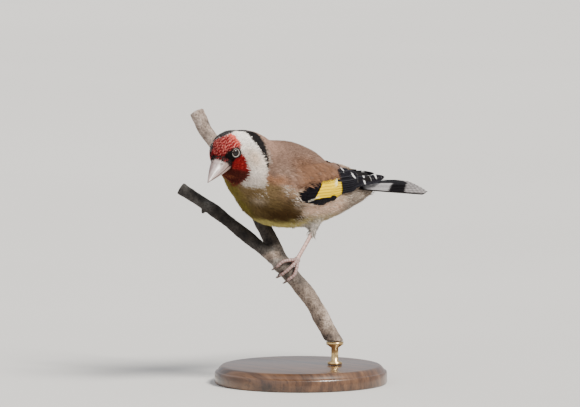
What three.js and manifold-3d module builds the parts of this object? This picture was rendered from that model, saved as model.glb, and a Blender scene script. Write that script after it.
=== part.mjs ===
// A european goldfinch, life size, gripping a forked twig that a plain display stand holds up.
// Millimetres, +Z up. The bird faces -Y and its left is +X. The origin is the centre of the
// stand's underside. Every outline comes from the sizes below.
import * as THREE from "three";
import { mergeVertices } from "three/addons/utils/BufferGeometryUtils.js";
import Module from "manifold-3d";

const wasm = await Module();
wasm.setup();

// Driving sizes
const GAP = 0.3; // between neighbouring nodes
const BODY_CENTRE = [-3, -2, 88];
const BODY_ROLL = 8; // degrees, left side down
const BODY_PITCH = 2; // degrees, tail down
const EYES_MIDDLE = [2, -42.3, 17.6]; // the point between the eyes, from the body's centre
const HEAD_YAW = 19; // degrees, to the bird's left
const HEAD_PITCH = 33; // degrees, bill down
const HEAD_ROLL = 9; // degrees, left side down
const EYE_FROM = [0, 3.4, -2.6]; // in the head's frame, where the lines of sight of both eyes meet
const EYE_WAY = [1, -0.62, 0.52]; // the left eye's line of sight in that frame
const EYE_OUT = 0.05; // how far the front of each eye stands out of the head
const EYE_RADIUS = 2.1;
const EYE_OPENING = 1.55; // radius of the ring of lids
const LID_RADIUS = 0.32;
const BILL_LENGTH = 15; // along the line of the mouth, its root inside the head
const BILL_WIDTH = 9;
const BILL_UPPER = 5.1; // height above the line of the mouth
const BILL_LOWER = 3.8;
const BILL_ROOT = [0, -3.7, -3.6]; // in the head's frame
const BILL_DROOP = -1; // degrees below the head's own axis
const TAIL_LENGTH = 50;
const TAIL_FORK = 5; // how much shorter the middle pair is
const TAIL_ROOT = [0, 25, -1]; // in the body's frame
const TAIL_PITCH = 2; // degrees, down from the body's own axis
const TAIL_ROLL = 6; // degrees, left edge down, over the body's roll
const WING_FRONT = -14; // the bend of the wing, along the body's frame
const WING_TIP = 51;
const TARSUS_RADIUS = 0.85;
const TOE_RADIUS = 0.85;
const BASE_RADIUS = 38;
const BASE_HEIGHT = 8;
const ROD_RADIUS = 1.6;

const RAD = Math.PI / 180;
const V = (x, y, z) => new THREE.Vector3(x, y, z);

// Frames: x to the left, y to the back, z up
function frameOf(origin, yaw, pitch, roll) {
  const turn = new THREE.Matrix4().makeRotationZ(yaw * RAD);
  turn.multiply(new THREE.Matrix4().makeRotationX(pitch * RAD));
  turn.multiply(new THREE.Matrix4().makeRotationY(roll * RAD));
  return new THREE.Matrix4().makeTranslation(...origin).multiply(turn);
}

const centre = V(...BODY_CENTRE);
const bodyFrame = frameOf(BODY_CENTRE, 0, -BODY_PITCH, BODY_ROLL);
const headOrigin = centre.clone().add(V(...EYES_MIDDLE));
const headFrame = frameOf(headOrigin.toArray(), HEAD_YAW, HEAD_PITCH, HEAD_ROLL);
const billFrame = headFrame.clone().multiply(frameOf(BILL_ROOT, 0, BILL_DROOP, 0));
const tailFrame = bodyFrame.clone().multiply(frameOf(TAIL_ROOT, 0, -TAIL_PITCH, TAIL_ROLL));
const inFrame = (frame, x, y, z) => V(x, y, z).applyMatrix4(frame);
const besideBody = (x, y, z) => V(x, y, z).add(centre);

// Solids
function solidOf(geometry) {
  const bare = new THREE.BufferGeometry();
  bare.setAttribute("position", geometry.getAttribute("position"));
  if (geometry.index) bare.setIndex(geometry.index);
  const merged = mergeVertices(bare, 1e-4);
  const index = new Uint32Array(merged.index.array);
  const make = () =>
    new wasm.Manifold(
      new wasm.Mesh({ numProp: 3, vertProperties: merged.attributes.position.array, triVerts: index }),
    );
  const solid = make();
  if (solid.volume() > 0) return solid;
  for (let i = 0; i < index.length; i += 3) [index[i + 1], index[i + 2]] = [index[i + 2], index[i + 1]];
  return make();
}

function largestOf(solid) {
  const bodies = solid.decompose();
  return bodies.reduce((a, b) => (b.volume() > a.volume() ? b : a));
}

const fuse = (solids) => largestOf(solids.reduce((a, b) => a.add(b)));

function nodeMesh(name, solid, color, roughness = 0.8, metalness = 0) {
  const { vertProperties, triVerts, numProp } = largestOf(solid).getMesh();
  const count = vertProperties.length / numProp;
  const position = new Float32Array(count * 3);
  for (let i = 0; i < count; i++) position.set(vertProperties.subarray(i * numProp, i * numProp + 3), i * 3);
  const geometry = new THREE.BufferGeometry();
  geometry.setAttribute("position", new THREE.BufferAttribute(position, 3));
  geometry.setIndex(new THREE.BufferAttribute(triVerts, 1));
  geometry.computeVertexNormals();
  const mesh = new THREE.Mesh(geometry, new THREE.MeshStandardMaterial({ color, roughness, metalness }));
  mesh.name = name;
  return mesh;
}

// A cylinder bent into any closed tube: place(t, angle, rho) says where each point goes, with t
// from root to tip and rho 1 on the wall and 0 at the middle of the two ends.
function tubeSolid(place, around, along) {
  const geometry = new THREE.CylinderGeometry(1, 1, 1, around, along);
  const position = geometry.getAttribute("position");
  for (let i = 0; i < position.count; i++) {
    const [x, y, z] = [position.getX(i), position.getY(i), position.getZ(i)];
    const point = place(y + 0.5, Math.atan2(z, x), Math.hypot(x, z));
    position.setXYZ(i, point.x, point.y, point.z);
  }
  return solidOf(geometry);
}

// A round tube along a three.js curve, of radius radiusAt(t)
function limbSolid(curve, radiusAt, around, along) {
  const frames = curve.computeFrenetFrames(along, false);
  return tubeSolid(
    (t, angle, rho) => {
      const step = Math.round(t * along);
      const reach = rho * radiusAt(t);
      return curve
        .getPointAt(t)
        .addScaledVector(frames.normals[step], Math.cos(angle) * reach)
        .addScaledVector(frames.binormals[step], Math.sin(angle) * reach);
    },
    around,
    along,
  );
}

// A thin closed slab over a grid of points: at(u, v) with u across and v along gives the point on
// the upper face, the way out of it and the thickness there. Both faces share one triangulation.
function slabSolid(at, across, along) {
  const plane = new THREE.PlaneGeometry(1, 1, across, along);
  const grid = plane.getAttribute("position");
  const faces = plane.index.array;
  const count = grid.count;
  const position = new Float32Array(count * 6);
  for (let i = 0; i < count; i++) {
    const { point, normal, thickness } = at(grid.getX(i) * 2, grid.getY(i) + 0.5);
    point.toArray(position, i * 3);
    point.clone().addScaledVector(normal, -thickness).toArray(position, (count + i) * 3);
  }
  const index = [];
  for (let i = 0; i < faces.length; i += 3) {
    const [a, b, c] = [faces[i], faces[i + 1], faces[i + 2]];
    index.push(a, b, c, a + count, c + count, b + count);
  }
  const wide = across + 1;
  const rim = [];
  for (let i = 0; i < across; i++) rim.push(i);
  for (let j = 0; j < along; j++) rim.push(across + j * wide);
  for (let i = across; i > 0; i--) rim.push(along * wide + i);
  for (let j = along; j > 0; j--) rim.push(j * wide);
  rim.forEach((a, k) => {
    const b = rim[(k + 1) % rim.length];
    index.push(a, b, a + count, b, b + count, a + count);
  });
  const geometry = new THREE.BufferGeometry();
  geometry.setAttribute("position", new THREE.BufferAttribute(position, 3));
  geometry.setIndex(index);
  return solidOf(geometry);
}

// Flesh: rounded forms that melt into one another, each over its own width
const blob = (frame, place, radii) => ({
  inverse: frame.clone().invert(),
  place: V(...place),
  radii: V(...radii),
  melt: frame === headFrame ? 3.5 : 7,
});

const torsoForms = [
  blob(bodyFrame, [0, -3.5, 1], [14.2, 22.5, 16.2]),
  blob(bodyFrame, [0, -12, 6.5], [11.2, 15.5, 12.2]),
  blob(bodyFrame, [0, -13, -2], [13.2, 14.5, 14.2]),
  blob(bodyFrame, [0, 3, -5.5], [12.2, 19.5, 12.8]),
  blob(bodyFrame, [0, 18, -5], [9.8, 15, 10]),
  blob(bodyFrame, [0, 31, -5.5], [5, 13, 5.2]),
];
const neckForms = [
  blob(bodyFrame, [1, -27, 13], [9.8, 10, 10.4]),
  blob(bodyFrame, [0, -27, 4.5], [9.4, 10.4, 10.8]),
];
const headForms = [
  blob(headFrame, [0, 3.2, -0.8], [6.6, 9.4, 6.2]),
  blob(headFrame, [0, 13, -5.5], [6.5, 4.5, 4.5]),
  blob(headFrame, [0, 2.5, -7.6], [6.4, 6.6, 4.8]),
  blob(headFrame, [3.8, 5, -4.6], [4.8, 7, 6]),
  blob(headFrame, [-3.8, 5, -4.6], [4.8, 7, 6]),
  blob(headFrame, [0, -3.6, -2.6], [4, 3.4, 3.8]),
];

const scratch = V(0, 0, 0);
const scaled = V(0, 0, 0);
function formDistance(form, point) {
  scratch.copy(point).applyMatrix4(form.inverse).sub(form.place);
  scaled.copy(scratch).divide(form.radii);
  const near = scaled.length();
  const steep = scaled.divide(form.radii).length();
  return (near * (near - 1)) / Math.max(steep, 1e-9);
}

function fleshDistance(forms, point) {
  let nearest = Infinity;
  for (const form of forms) {
    const other = formDistance(form, point);
    const mix = Math.max(form.melt - Math.abs(nearest - other), 0) / form.melt;
    nearest = Math.min(nearest, other) - (nearest === Infinity ? 0 : mix * mix * form.melt * 0.25);
  }
  return nearest;
}

// How far the skin lies from a point inside it, along a unit way, when grown outwards by `grow`
const probe = V(0, 0, 0);
function skinReach(forms, from, way, grow = 0) {
  const value = (r) => fleshDistance(forms, probe.copy(from).addScaledVector(way, r)) - grow;
  let reach = 0;
  let step = 0.75;
  while (value(reach + step) < 0 && reach < 80) reach += step;
  for (let k = 0; k < 14; k++) {
    step /= 2;
    if (value(reach + step) < 0) reach += step;
  }
  return reach;
}

// The skin of the melted forms, found outwards from a straight line inside them
function skinSolid(forms, [start, end], detail, grow = 0) {
  const geometry = new THREE.IcosahedronGeometry(1, detail);
  const position = geometry.getAttribute("position");
  const span = end.clone().sub(start);
  const turn = new THREE.Quaternion().setFromUnitVectors(V(0, 1, 0), span.clone().normalize());
  for (let i = 0; i < position.count; i++) {
    const share = position.getY(i);
    const from = start.clone().addScaledVector(span, (share + 1) / 2);
    const way = V(position.getX(i), share ** 3, position.getZ(i)).normalize().applyQuaternion(turn);
    const point = from.addScaledVector(way, skinReach(forms, from, way, grow));
    position.setXYZ(i, point.x, point.y, point.z);
  }
  return solidOf(geometry);
}

// A large box whose near face is a cutting plane: everything past `point` along `way`
function beyond(point, way) {
  const size = 120;
  const box = new THREE.BoxGeometry(size, size, size);
  const turn = new THREE.Quaternion().setFromUnitVectors(V(0, 0, 1), way.clone().normalize());
  box.applyQuaternion(turn);
  const middle = point.clone().addScaledVector(way.clone().normalize(), size / 2);
  box.translate(middle.x, middle.y, middle.z);
  return solidOf(box);
}

const headLine = [inFrame(headFrame, 0, 12, -5), inFrame(headFrame, 0, -2.5, -1.6)];
const neckLine = [inFrame(bodyFrame, 0.5, -15, 6), inFrame(headFrame, 0, 9, -4.5)];
const torsoLine = [inFrame(bodyFrame, 0.5, -17, 3), inFrame(bodyFrame, 0, 37, -5.4)];
const neckMiddle = inFrame(bodyFrame, 1, -24, 8);
const neckWay = inFrame(headFrame, 0, 4, -3).sub(neckMiddle).normalize();
const headCut = neckMiddle.clone().addScaledVector(neckWay, 8);
const torsoCut = neckMiddle.clone().addScaledVector(neckWay, -1);
const away = neckWay.clone().negate();
const half = GAP / 2;
const shifted = (point, by) => point.clone().addScaledVector(neckWay, by);

const headAndNeck = [...headForms, ...neckForms];
const neckAndTorso = [...neckForms, ...torsoForms];
const wholeHead = skinSolid(headAndNeck, headLine, 6);
const wholeNeck = skinSolid([...headAndNeck, ...torsoForms], neckLine, 6);
const wholeTorso = skinSolid(neckAndTorso, torsoLine, 7);
const grownHead = skinSolid(headAndNeck, headLine, 6, GAP);
const grownTorso = skinSolid(neckAndTorso, torsoLine, 7, GAP);

// Eyes and lids
function eyeParts(side) {
  const outward = V(side * EYE_WAY[0], EYE_WAY[1], EYE_WAY[2]).transformDirection(headFrame);
  const inside = inFrame(headFrame, ...EYE_FROM);
  const front = skinReach(headForms, inside, outward) + EYE_OUT;
  const middle = inside.clone().addScaledVector(outward, front - EYE_RADIUS);
  const ball = (radius) =>
    solidOf(new THREE.SphereGeometry(radius, 12, 8).translate(middle.x, middle.y, middle.z));
  const facing = new THREE.Quaternion().setFromUnitVectors(V(0, 0, 1), outward);
  const ring = new THREE.TorusGeometry(EYE_OPENING + 0.1, LID_RADIUS, 5, 14);
  ring.translate(0, 0, Math.sqrt((EYE_RADIUS + GAP) ** 2 - EYE_OPENING ** 2) + 0.1);
  const opening = new THREE.CylinderGeometry(EYE_OPENING, EYE_OPENING, EYE_RADIUS * 2, 14);
  opening.rotateX(Math.PI / 2).translate(0, 0, EYE_RADIUS);
  const placed = (geometry) =>
    solidOf(geometry.applyQuaternion(facing).translate(middle.x, middle.y, middle.z));
  const lids = ball(EYE_RADIUS + GAP + LID_RADIUS);
  const open = placed(opening);
  return {
    eye: ball(EYE_RADIUS),
    lidded: (head) => head.add(lids).subtract(open).add(placed(ring)).subtract(ball(EYE_RADIUS + GAP)),
  };
}

const eyes = { left: eyeParts(1), right: eyeParts(-1) };

const bareHead = wholeHead.subtract(beyond(shifted(headCut, half), away));
const head = eyes.right.lidded(eyes.left.lidded(bareHead));
const neck = wholeNeck
  .subtract(beyond(shifted(headCut, -half), neckWay))
  .subtract(beyond(shifted(torsoCut, half), away));
const torso = wholeTorso.subtract(beyond(shifted(torsoCut, -half), neckWay));

// Bill: each half is a cone flattened on the line of the mouth, its edges drawn to a point
function billHalf(up, height) {
  const tipShare = up > 0 ? 1 : 0.94;
  return tubeSolid(
    (t, angle, rho) => {
      const taper = Math.pow(1 - t * 0.985, 0.86);
      const wide = (BILL_WIDTH / 2) * taper * (1 + 0.1 * Math.sin(Math.PI * t));
      const tall = height * Math.pow(1 - t * 0.985, up > 0 ? 0.92 : 1.05);
      const rise = Math.max(0, Math.sin(angle));
      const ridge = up > 0 ? Math.pow(rise, 0.9) : Math.pow(rise, 0.75);
      const floor = Math.sin(angle) < 0 ? 0 : ridge * tall;
      const across = Math.cos(angle) * wide * rho;
      return inFrame(billFrame, across, -t * BILL_LENGTH * tipShare, up * (half + floor * rho));
    },
    12,
    6,
  );
}

function nostril(side) {
  const pit = new THREE.SphereGeometry(0.45, 6, 5).scale(1, 1.6, 0.9);
  return solidOf(pit.translate(side * 2.5, -4.7, 3.1).applyMatrix4(billFrame));
}

const billUpper = billHalf(1, BILL_UPPER)
  .subtract(nostril(1))
  .subtract(nostril(-1))
  .subtract(grownHead);
const billLower = billHalf(-1, BILL_LOWER).subtract(grownHead);

// Tail: twelve vanes, the outer ones longer and lower
function tailVane(side, rank) {
  const length = TAIL_LENGTH - TAIL_FORK * (1 - rank / 5) ** 1.3;
  const spread = side * (0.6 + rank * 1.15) * RAD;
  const drop = -rank * 0.3 - (side < 0 ? 0.15 : 0);
  const width = 5.4;
  return slabSolid(
    (u, v) => {
      const t = 1 - (1 - v) ** 1.5;
      const along = t * length;
      const round = Math.min(1, 2.4 * Math.sqrt(1.02 - t));
      const reach = (width / 2) * (0.55 + 0.45 * Math.min(1, t * 2)) * round;
      const middle = side * (0.8 + rank * 0.22) + Math.sin(spread) * along;
      const x = middle + u * reach;
      const camber = -0.012 * x * x;
      const taper = v > 0.9 ? 0.75 : 1;
      return {
        point: inFrame(tailFrame, x, Math.cos(spread) * along, 1.2 + drop + camber),
        normal: V(0, 0, 1).transformDirection(tailFrame),
        thickness: 0.6 * taper,
      };
    },
    2,
    4,
  );
}

function tailSolid() {
  const vanes = [];
  for (const side of [1, -1]) for (let rank = 0; rank < 6; rank++) vanes.push(tailVane(side, rank));
  return fuse(vanes).subtract(grownTorso);
}

// Wing: a sheet that wraps the body's side and runs to a tip over the tail
const lerp = THREE.MathUtils.lerp;
function profile(stops, at) {
  const last = stops.length - 1;
  if (at <= stops[0][0]) return stops[0][1];
  if (at >= stops[last][0]) return stops[last][1];
  const k = stops.findIndex(([place]) => place > at);
  const [[a, low], [b, high]] = [stops[k - 1], stops[k]];
  const t = (at - a) / (b - a);
  return lerp(low, high, t * t * (3 - 2 * t) * 0.5 + t * 0.5);
}

const SHEET_WIDTH = [
  [-16, 12.9],
  [0, 14.6],
  [12, 12.4],
  [24, 9],
  [40, 5.5],
  [52, 3],
];
const SHEET_HEIGHT = [
  [-16, 15],
  [0, 15],
  [12, 10.6],
  [24, 5.8],
  [40, 3.4],
  [52, 3],
];
const SHEET_LOW = [
  [-14, -5],
  [-10, -14],
  [0, -20],
  [14, -22],
  [22, -12],
  [36, 0],
  [52, 30],
];
const SHEET_HIGH = [
  [-14, 3],
  [-9, 13],
  [0, 18],
  [12, 32],
  [24, 64],
  [40, 60],
  [52, 50],
];

function sheetPoint(side, y, angle, lift) {
  const wide = profile(SHEET_WIDTH, y) + lift;
  const tall = profile(SHEET_HEIGHT, y) + lift;
  return inFrame(bodyFrame, side * wide * Math.cos(angle * RAD), y, tall * Math.sin(angle * RAD));
}

function sheetNormal(side, y, angle) {
  const a = sheetPoint(side, y, angle + 2, 0).sub(sheetPoint(side, y, angle - 2, 0));
  const b = sheetPoint(side, y + 1, angle, 0).sub(sheetPoint(side, y - 1, angle, 0));
  return a.cross(b).multiplyScalar(side).normalize();
}

// The folded wing's plain core, from its front to near its tip
function wingCore(side) {
  return slabSolid(
    (u, v) => {
      const y = lerp(WING_FRONT, 40, v);
      const angle = lerp(profile(SHEET_LOW, y), profile(SHEET_HIGH, y), (u + 1) / 2);
      return {
        point: sheetPoint(side, y, angle, 0.6),
        normal: sheetNormal(side, y, angle),
        thickness: 1.2,
      };
    },
    4,
    8,
  );
}

// One flight feather or covert: from root to tip, each [along, angle], lying on the sheet
function wingVane(side, { root, tip, width, lift, thickness = 0.6, steps = 3 }) {
  return slabSolid(
    (u, v) => {
      const t = 1 - (1 - v) ** 1.4;
      const y = lerp(root[0], tip[0], t);
      const angle = lerp(root[1], tip[1], t);
      const round = Math.min(1, 2.2 * Math.sqrt(1.02 - t));
      const reach = (width / 2) * (0.6 + 0.4 * Math.min(1, t * 3)) * round;
      const away = lerp(lift * 0.5, lift, t);
      const middle = sheetPoint(side, y, angle, away);
      const aside = sheetPoint(side, y, angle + 3, away).sub(middle).normalize();
      const normal = sheetNormal(side, y, angle);
      return {
        point: middle.addScaledVector(aside, u * reach).addScaledVector(normal, -0.06 * (u * reach) ** 2),
        normal,
        thickness: v > 0.95 ? thickness * 0.7 : thickness,
      };
    },
    2,
    steps,
  );
}

function wingVanes(side) {
  const rows = [
    // primaries, the outermost lowest
    { count: 6, root: [[8, -4], [6, -14]], tip: [[38, 34], [WING_TIP, 34]], width: 4.4, lift: [1.5, 0.9] },
    // secondaries
    { count: 4, root: [[0, -8], [0, 12]], tip: [[30, 4], [33, 40]], width: 5, lift: [1.4, 1.9] },
    // tertials
    { count: 3, root: [[8, 22], [8, 32]], tip: [[33, 48], [25, 62]], width: 5.6, lift: [2, 2.5] },
    // greater coverts
    { count: 5, root: [[-6, -8], [-4, 16]], tip: [[8, -12], [13, 28]], width: 4.6, lift: [1.9, 2.3] },
    // median and lesser coverts
    { count: 4, root: [[-12, -8], [-10, 8]], tip: [[-2, -12], [3, 17]], width: 4.4, lift: [2.2, 2.6] },
    // the first digit's feathers and the primary coverts
    { count: 3, root: [[-4, -15], [1, -13]], tip: [[7, -20], [14, -17]], width: 2.8, lift: [2.6, 2.3] },
  ];
  return rows.flatMap(({ count, root, tip, width, lift }) =>
    Array.from({ length: count }, (_, i) => {
      const t = i / (count - 1);
      const between = ([a, b]) => [lerp(a[0], b[0], t), lerp(a[1], b[1], t)];
      return wingVane(side, { root: between(root), tip: between(tip), width, lift: lerp(lift[0], lift[1], t) });
    }),
  );
}

const wingSolid = (side) => fuse([wingCore(side), ...wingVanes(side)]).subtract(grownTorso);

// Twig: a fork of two branches over one stem
const twigPoint = (x, y, z) => besideBody(x, y, z);
const FORK = twigPoint(-1, -5.6, -35.3);
const STEM_END = twigPoint(14.2, 13.3, -71.5);
const twigs = {
  stem: { points: [FORK, twigPoint(6.5, 5.1, -51.2), twigPoint(10, 9.4, -61.4), STEM_END], radii: [3.7, 3.7] },
  near: {
    points: [FORK, twigPoint(-11.5, -17.2, -22.7), twigPoint(-21.3, -28.2, -11), twigPoint(-31, -38.9, -1.5)],
    radii: [3, 2.7],
  },
  rear: {
    points: [
      FORK,
      twigPoint(-18, -6.3, -11.6),
      twigPoint(-30, -6.8, 4.6),
      twigPoint(-45, -10.7, 19.8),
      twigPoint(-50, -12.4, 29.3),
    ],
    radii: [3.6, 3.2],
  },
};

function twigSolid(grow) {
  const lengths = Object.values(twigs).map(({ points, radii }) =>
    limbSolid(
      new THREE.CatmullRomCurve3(points),
      (t) => lerp(radii[0], radii[1], t) + grow + 0.25 * Math.sin(t * 21) * Math.min(1, t * 4),
      9,
      9,
    ),
  );
  const knot = new THREE.SphereGeometry(4.3 + grow, 14, 10).translate(FORK.x, FORK.y, FORK.z);
  return fuse([solidOf(knot), ...lengths]);
}

// Legs: the toes go round the twig, each at its own place along it
const ankles = {
  left: besideBody(6, 6.3, -21.2),
  right: besideBody(-8.5, 8, -19.5),
};

function gripOf(curve, at, toward) {
  const middle = curve.getPointAt(at);
  const along = curve.getTangentAt(at);
  const out = toward.clone().sub(middle).projectOnPlane(along).normalize();
  return { middle, along, out, round: along.clone().cross(out) };
}

const stemCurve = new THREE.CatmullRomCurve3(twigs.stem.points);
const rearCurve = new THREE.CatmullRomCurve3(twigs.rear.points);
const grips = {
  left: { ...gripOf(stemCurve, 0.06, besideBody(5, 0, -28)), twig: 3.9, turn: 1 },
  right: { ...gripOf(rearCurve, 0.371, besideBody(-14, 6, -14)), twig: 3.6, turn: -1 },
};

function gripPoint({ middle, along, out, round }, angle, reach, shift) {
  return middle
    .clone()
    .addScaledVector(along, shift)
    .addScaledVector(out, Math.cos(angle * RAD) * reach)
    .addScaledVector(round, Math.sin(angle * RAD) * reach);
}

const TOES = [
  { shift: -4.2, sweep: 118 },
  { shift: 0, sweep: 140 },
  { shift: 3.6, sweep: 120 },
  { shift: 0.5, sweep: -125 },
];

function footSolid(grip) {
  const reach = grip.twig + GAP + TOE_RADIUS + 0.1;
  const toes = TOES.flatMap(({ shift, sweep }) => {
    const toePoints = [0, 0.2, 0.4, 0.6, 0.8, 1].map((t) =>
      gripPoint(grip, sweep * grip.turn * t, reach + 1.4 * (1 - t) ** 3, shift * Math.min(1, t * 1.8)),
    );
    const clawPoints = [0.96, 1.08, 1.2, 1.3].map((t, k) =>
      gripPoint(grip, sweep * grip.turn * t, reach + [0, 0.5, 0.5, 0][k], shift),
    );
    const toe = limbSolid(
      new THREE.CatmullRomCurve3(toePoints),
      (t) => TOE_RADIUS * (1 - 0.2 * t) + 0.06 * Math.sin(t * 19),
      6,
      5,
    );
    const claw = limbSolid(new THREE.CatmullRomCurve3(clawPoints), (t) => 0.6 * (1 - t) + 0.14, 4, 3);
    return [toe, claw];
  });
  const hub = gripPoint(grip, 0, reach + 1.2, 0);
  const palm = new THREE.SphereGeometry(1.5, 10, 7).translate(hub.x, hub.y, hub.z);
  return { solid: fuse([solidOf(palm), ...toes]), hub };
}

function legSolids(side) {
  const grip = grips[side];
  const { solid: foot, hub } = footSolid(grip);
  const ankle = ankles[side];
  const shank = new THREE.LineCurve3(ankle, hub);
  const tarsus = limbSolid(
    shank,
    (t) => TARSUS_RADIUS * (1 + 0.35 * Math.pow(2 * t - 1, 6)),
    8,
    6,
  );
  const hip = inFrame(bodyFrame, side === "left" ? 4 : -4, 10, -5);
  const shin = new THREE.LineCurve3(hip, ankle);
  const thighOf = (grow) => {
    const end = new THREE.SphereGeometry(1.5 + grow, 10, 6).translate(ankle.x, ankle.y, ankle.z);
    const plump = (t) => lerp(7, 1.5, Math.pow(t, 1.3)) + grow;
    return solidOf(end).add(limbSolid(shin, plump, 14, 6));
  };
  return {
    foot: foot.subtract(grownTwig).subtract(grownTorso),
    tarsus: tarsus.subtract(foot).subtract(thighOf(GAP)).subtract(grownTorso),
    thigh: thighOf(0).subtract(grownTorso),
  };
}

const twig = twigSolid(0);
const grownTwig = twigSolid(GAP);
const legs = { left: legSolids("left"), right: legSolids("right") };

// Stand: a turned disc and a rod with a small cup under the stem's end
const baseDisc = new THREE.LatheGeometry(
  [
    [0, 0],
    [BASE_RADIUS - 0.8, 0],
    [BASE_RADIUS, 0.8],
    [BASE_RADIUS, BASE_HEIGHT - 3],
    [BASE_RADIUS - 1, BASE_HEIGHT - 2.2],
    [BASE_RADIUS - 2.2, BASE_HEIGHT - 0.6],
    [BASE_RADIUS - 3.4, BASE_HEIGHT],
    [0, BASE_HEIGHT],
  ].map(([r, h]) => new THREE.Vector2(r, h)),
  36,
).rotateX(Math.PI / 2);

const stemFoot = STEM_END.z + 2.2; // the stem is cut level here
const footPlace = stemCurve.getPointAt(0.955);
const rodProfile = [
  [0, BASE_HEIGHT + GAP],
  [ROD_RADIUS * 2, BASE_HEIGHT + GAP],
  [ROD_RADIUS * 2, BASE_HEIGHT + GAP + 1],
  [ROD_RADIUS, BASE_HEIGHT + GAP + 1.6],
  [ROD_RADIUS, stemFoot - 3],
  [ROD_RADIUS * 2.4, stemFoot - 1.4],
  [ROD_RADIUS * 2.4, stemFoot - GAP],
  [0, stemFoot - GAP],
].map(([r, h]) => new THREE.Vector2(r, h));
const rod = new THREE.LatheGeometry(rodProfile, 14).rotateX(Math.PI / 2);
rod.translate(footPlace.x, footPlace.y, 0);

const levelCut = beyond(V(0, 0, stemFoot), V(0, 0, -1));

const goldfinch = new THREE.Group();
const brown = 0x9a7355;
goldfinch.add(
  nodeMesh("head", head, 0xc0392b),
  nodeMesh("neck", neck, 0xe8ddcf),
  nodeMesh("torso", torso, brown),
  nodeMesh("bill_upper", billUpper, 0xd9c9bd, 0.45),
  nodeMesh("bill_lower", billLower, 0xd9c9bd, 0.45),
  nodeMesh("eye_left", eyes.left.eye, 0x0b0807, 0.1),
  nodeMesh("eye_right", eyes.right.eye, 0x0b0807, 0.1),
  nodeMesh("tail", tailSolid(), 0x16161c),
  nodeMesh("wing_left", wingSolid(1), 0x1a1a20),
  nodeMesh("wing_right", wingSolid(-1), 0x1a1a20),
  nodeMesh("thigh_left", legs.left.thigh, 0xddd2c4),
  nodeMesh("thigh_right", legs.right.thigh, 0xddd2c4),
  nodeMesh("tarsus_left", legs.left.tarsus, 0xc79a8c, 0.6),
  nodeMesh("tarsus_right", legs.right.tarsus, 0xc79a8c, 0.6),
  nodeMesh("foot_left", legs.left.foot, 0xc79a8c, 0.6),
  nodeMesh("foot_right", legs.right.foot, 0xc79a8c, 0.6),
  nodeMesh("perch_twig", twig.subtract(levelCut), 0x8b7d6f, 0.9),
);

const stand = new THREE.Group();
stand.add(
  nodeMesh("stand_base", solidOf(baseDisc), 0x3a261a, 0.5),
  nodeMesh("stand_rod", solidOf(rod), 0xb08d57, 0.35, 1),
);

const part = new THREE.Group();
part.add(goldfinch, stand);

export default part;
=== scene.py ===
"""The looks of a life-size european goldfinch that grips a forked twig on a small display stand.

Sizes are in millimetres in the bird's own frames (x to its left, y to its back, z up) and become
metres when a mesh is made.
"""

import math

import bmesh
import bpy
import numpy as np
from mathutils import Matrix, Vector, noise
from mathutils.bvhtree import BVHTree


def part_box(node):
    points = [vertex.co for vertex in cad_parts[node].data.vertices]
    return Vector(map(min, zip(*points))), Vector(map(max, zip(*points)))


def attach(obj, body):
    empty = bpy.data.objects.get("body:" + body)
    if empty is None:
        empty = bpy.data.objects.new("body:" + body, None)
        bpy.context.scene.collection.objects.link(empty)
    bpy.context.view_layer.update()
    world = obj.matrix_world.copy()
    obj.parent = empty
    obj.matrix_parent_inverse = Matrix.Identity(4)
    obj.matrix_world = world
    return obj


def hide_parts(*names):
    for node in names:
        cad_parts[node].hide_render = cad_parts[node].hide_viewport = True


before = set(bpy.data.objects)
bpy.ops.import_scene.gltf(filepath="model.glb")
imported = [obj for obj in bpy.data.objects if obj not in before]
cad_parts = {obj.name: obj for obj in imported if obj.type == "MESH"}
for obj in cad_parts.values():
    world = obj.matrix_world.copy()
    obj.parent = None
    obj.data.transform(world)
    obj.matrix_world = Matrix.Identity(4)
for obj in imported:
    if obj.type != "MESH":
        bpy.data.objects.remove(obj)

bl_info = {
    "name": "Goldfinch model",
    "version": (1, 0, 0),
    "blender": (4, 5, 0),
    "location": "View3D > Sidebar > Goldfinch",
    "description": "Builds the plumage, bill, legs, twig and stand of a life-size goldfinch",
    "category": "Add Mesh",
}

MM = 0.001
SEED = 4102

# The same driving sizes as the solids
BODY_CENTRE = np.array([-3.0, -2.0, 88.0])
BODY_ROLL, BODY_PITCH = 8, 2
EYES_MIDDLE = (2, -42.3, 17.6)
HEAD_YAW, HEAD_PITCH, HEAD_ROLL = 19, 33, 9
EYE_FROM, EYE_WAY = np.array([0, 3.4, -2.6]), np.array([1, -0.62, 0.52])
EYE_OUT, EYE_RADIUS = 0.05, 2.1
BILL_LENGTH, BILL_WIDTH, BILL_UPPER, BILL_LOWER = 15, 9, 5.1, 3.8
BILL_ROOT, BILL_DROOP = (0, -3.7, -3.6), -1
TAIL_LENGTH, TAIL_FORK, TAIL_ROOT, TAIL_PITCH, TAIL_ROLL = 50, 5, (0, 25, -1), 2, 6
TARSUS_RADIUS, TOE_RADIUS = 0.85, 0.85
GAP = 0.3
BASE_RADIUS, BASE_HEIGHT, ROD_RADIUS = 38, 8, 1.6

SHEET_WIDTH = [(-16, 12.9), (0, 14.6), (12, 12.4), (24, 9), (40, 5.5), (52, 3)]
SHEET_HEIGHT = [(-16, 15), (0, 15), (12, 10.6), (24, 5.8), (40, 3.4), (52, 3)]
SHEET_LOW = [(-14, -5), (-10, -14), (0, -20), (14, -22), (22, -12), (36, 0), (52, 30)]
SHEET_HIGH = [(-14, 3), (-9, 13), (0, 18), (12, 32), (24, 64), (40, 60), (52, 50)]

# where the mantle ends on the folded wing: its lower edge, and its rear edge up the back
MANTLE_LOW = [(-14, 9), (-10, 13), (-6, 14.5), (-2, 15), (0, 18.5)]
MANTLE_LOW += [(4, 21.5), (9, 25.5), (12, 27), (16, 30)]
MANTLE_REAR = [(25, 14.3), (37, 14), (42, 12.8), (49, 12.4), (53, 11.4), (60, 10.6), (90, 10)]

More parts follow.
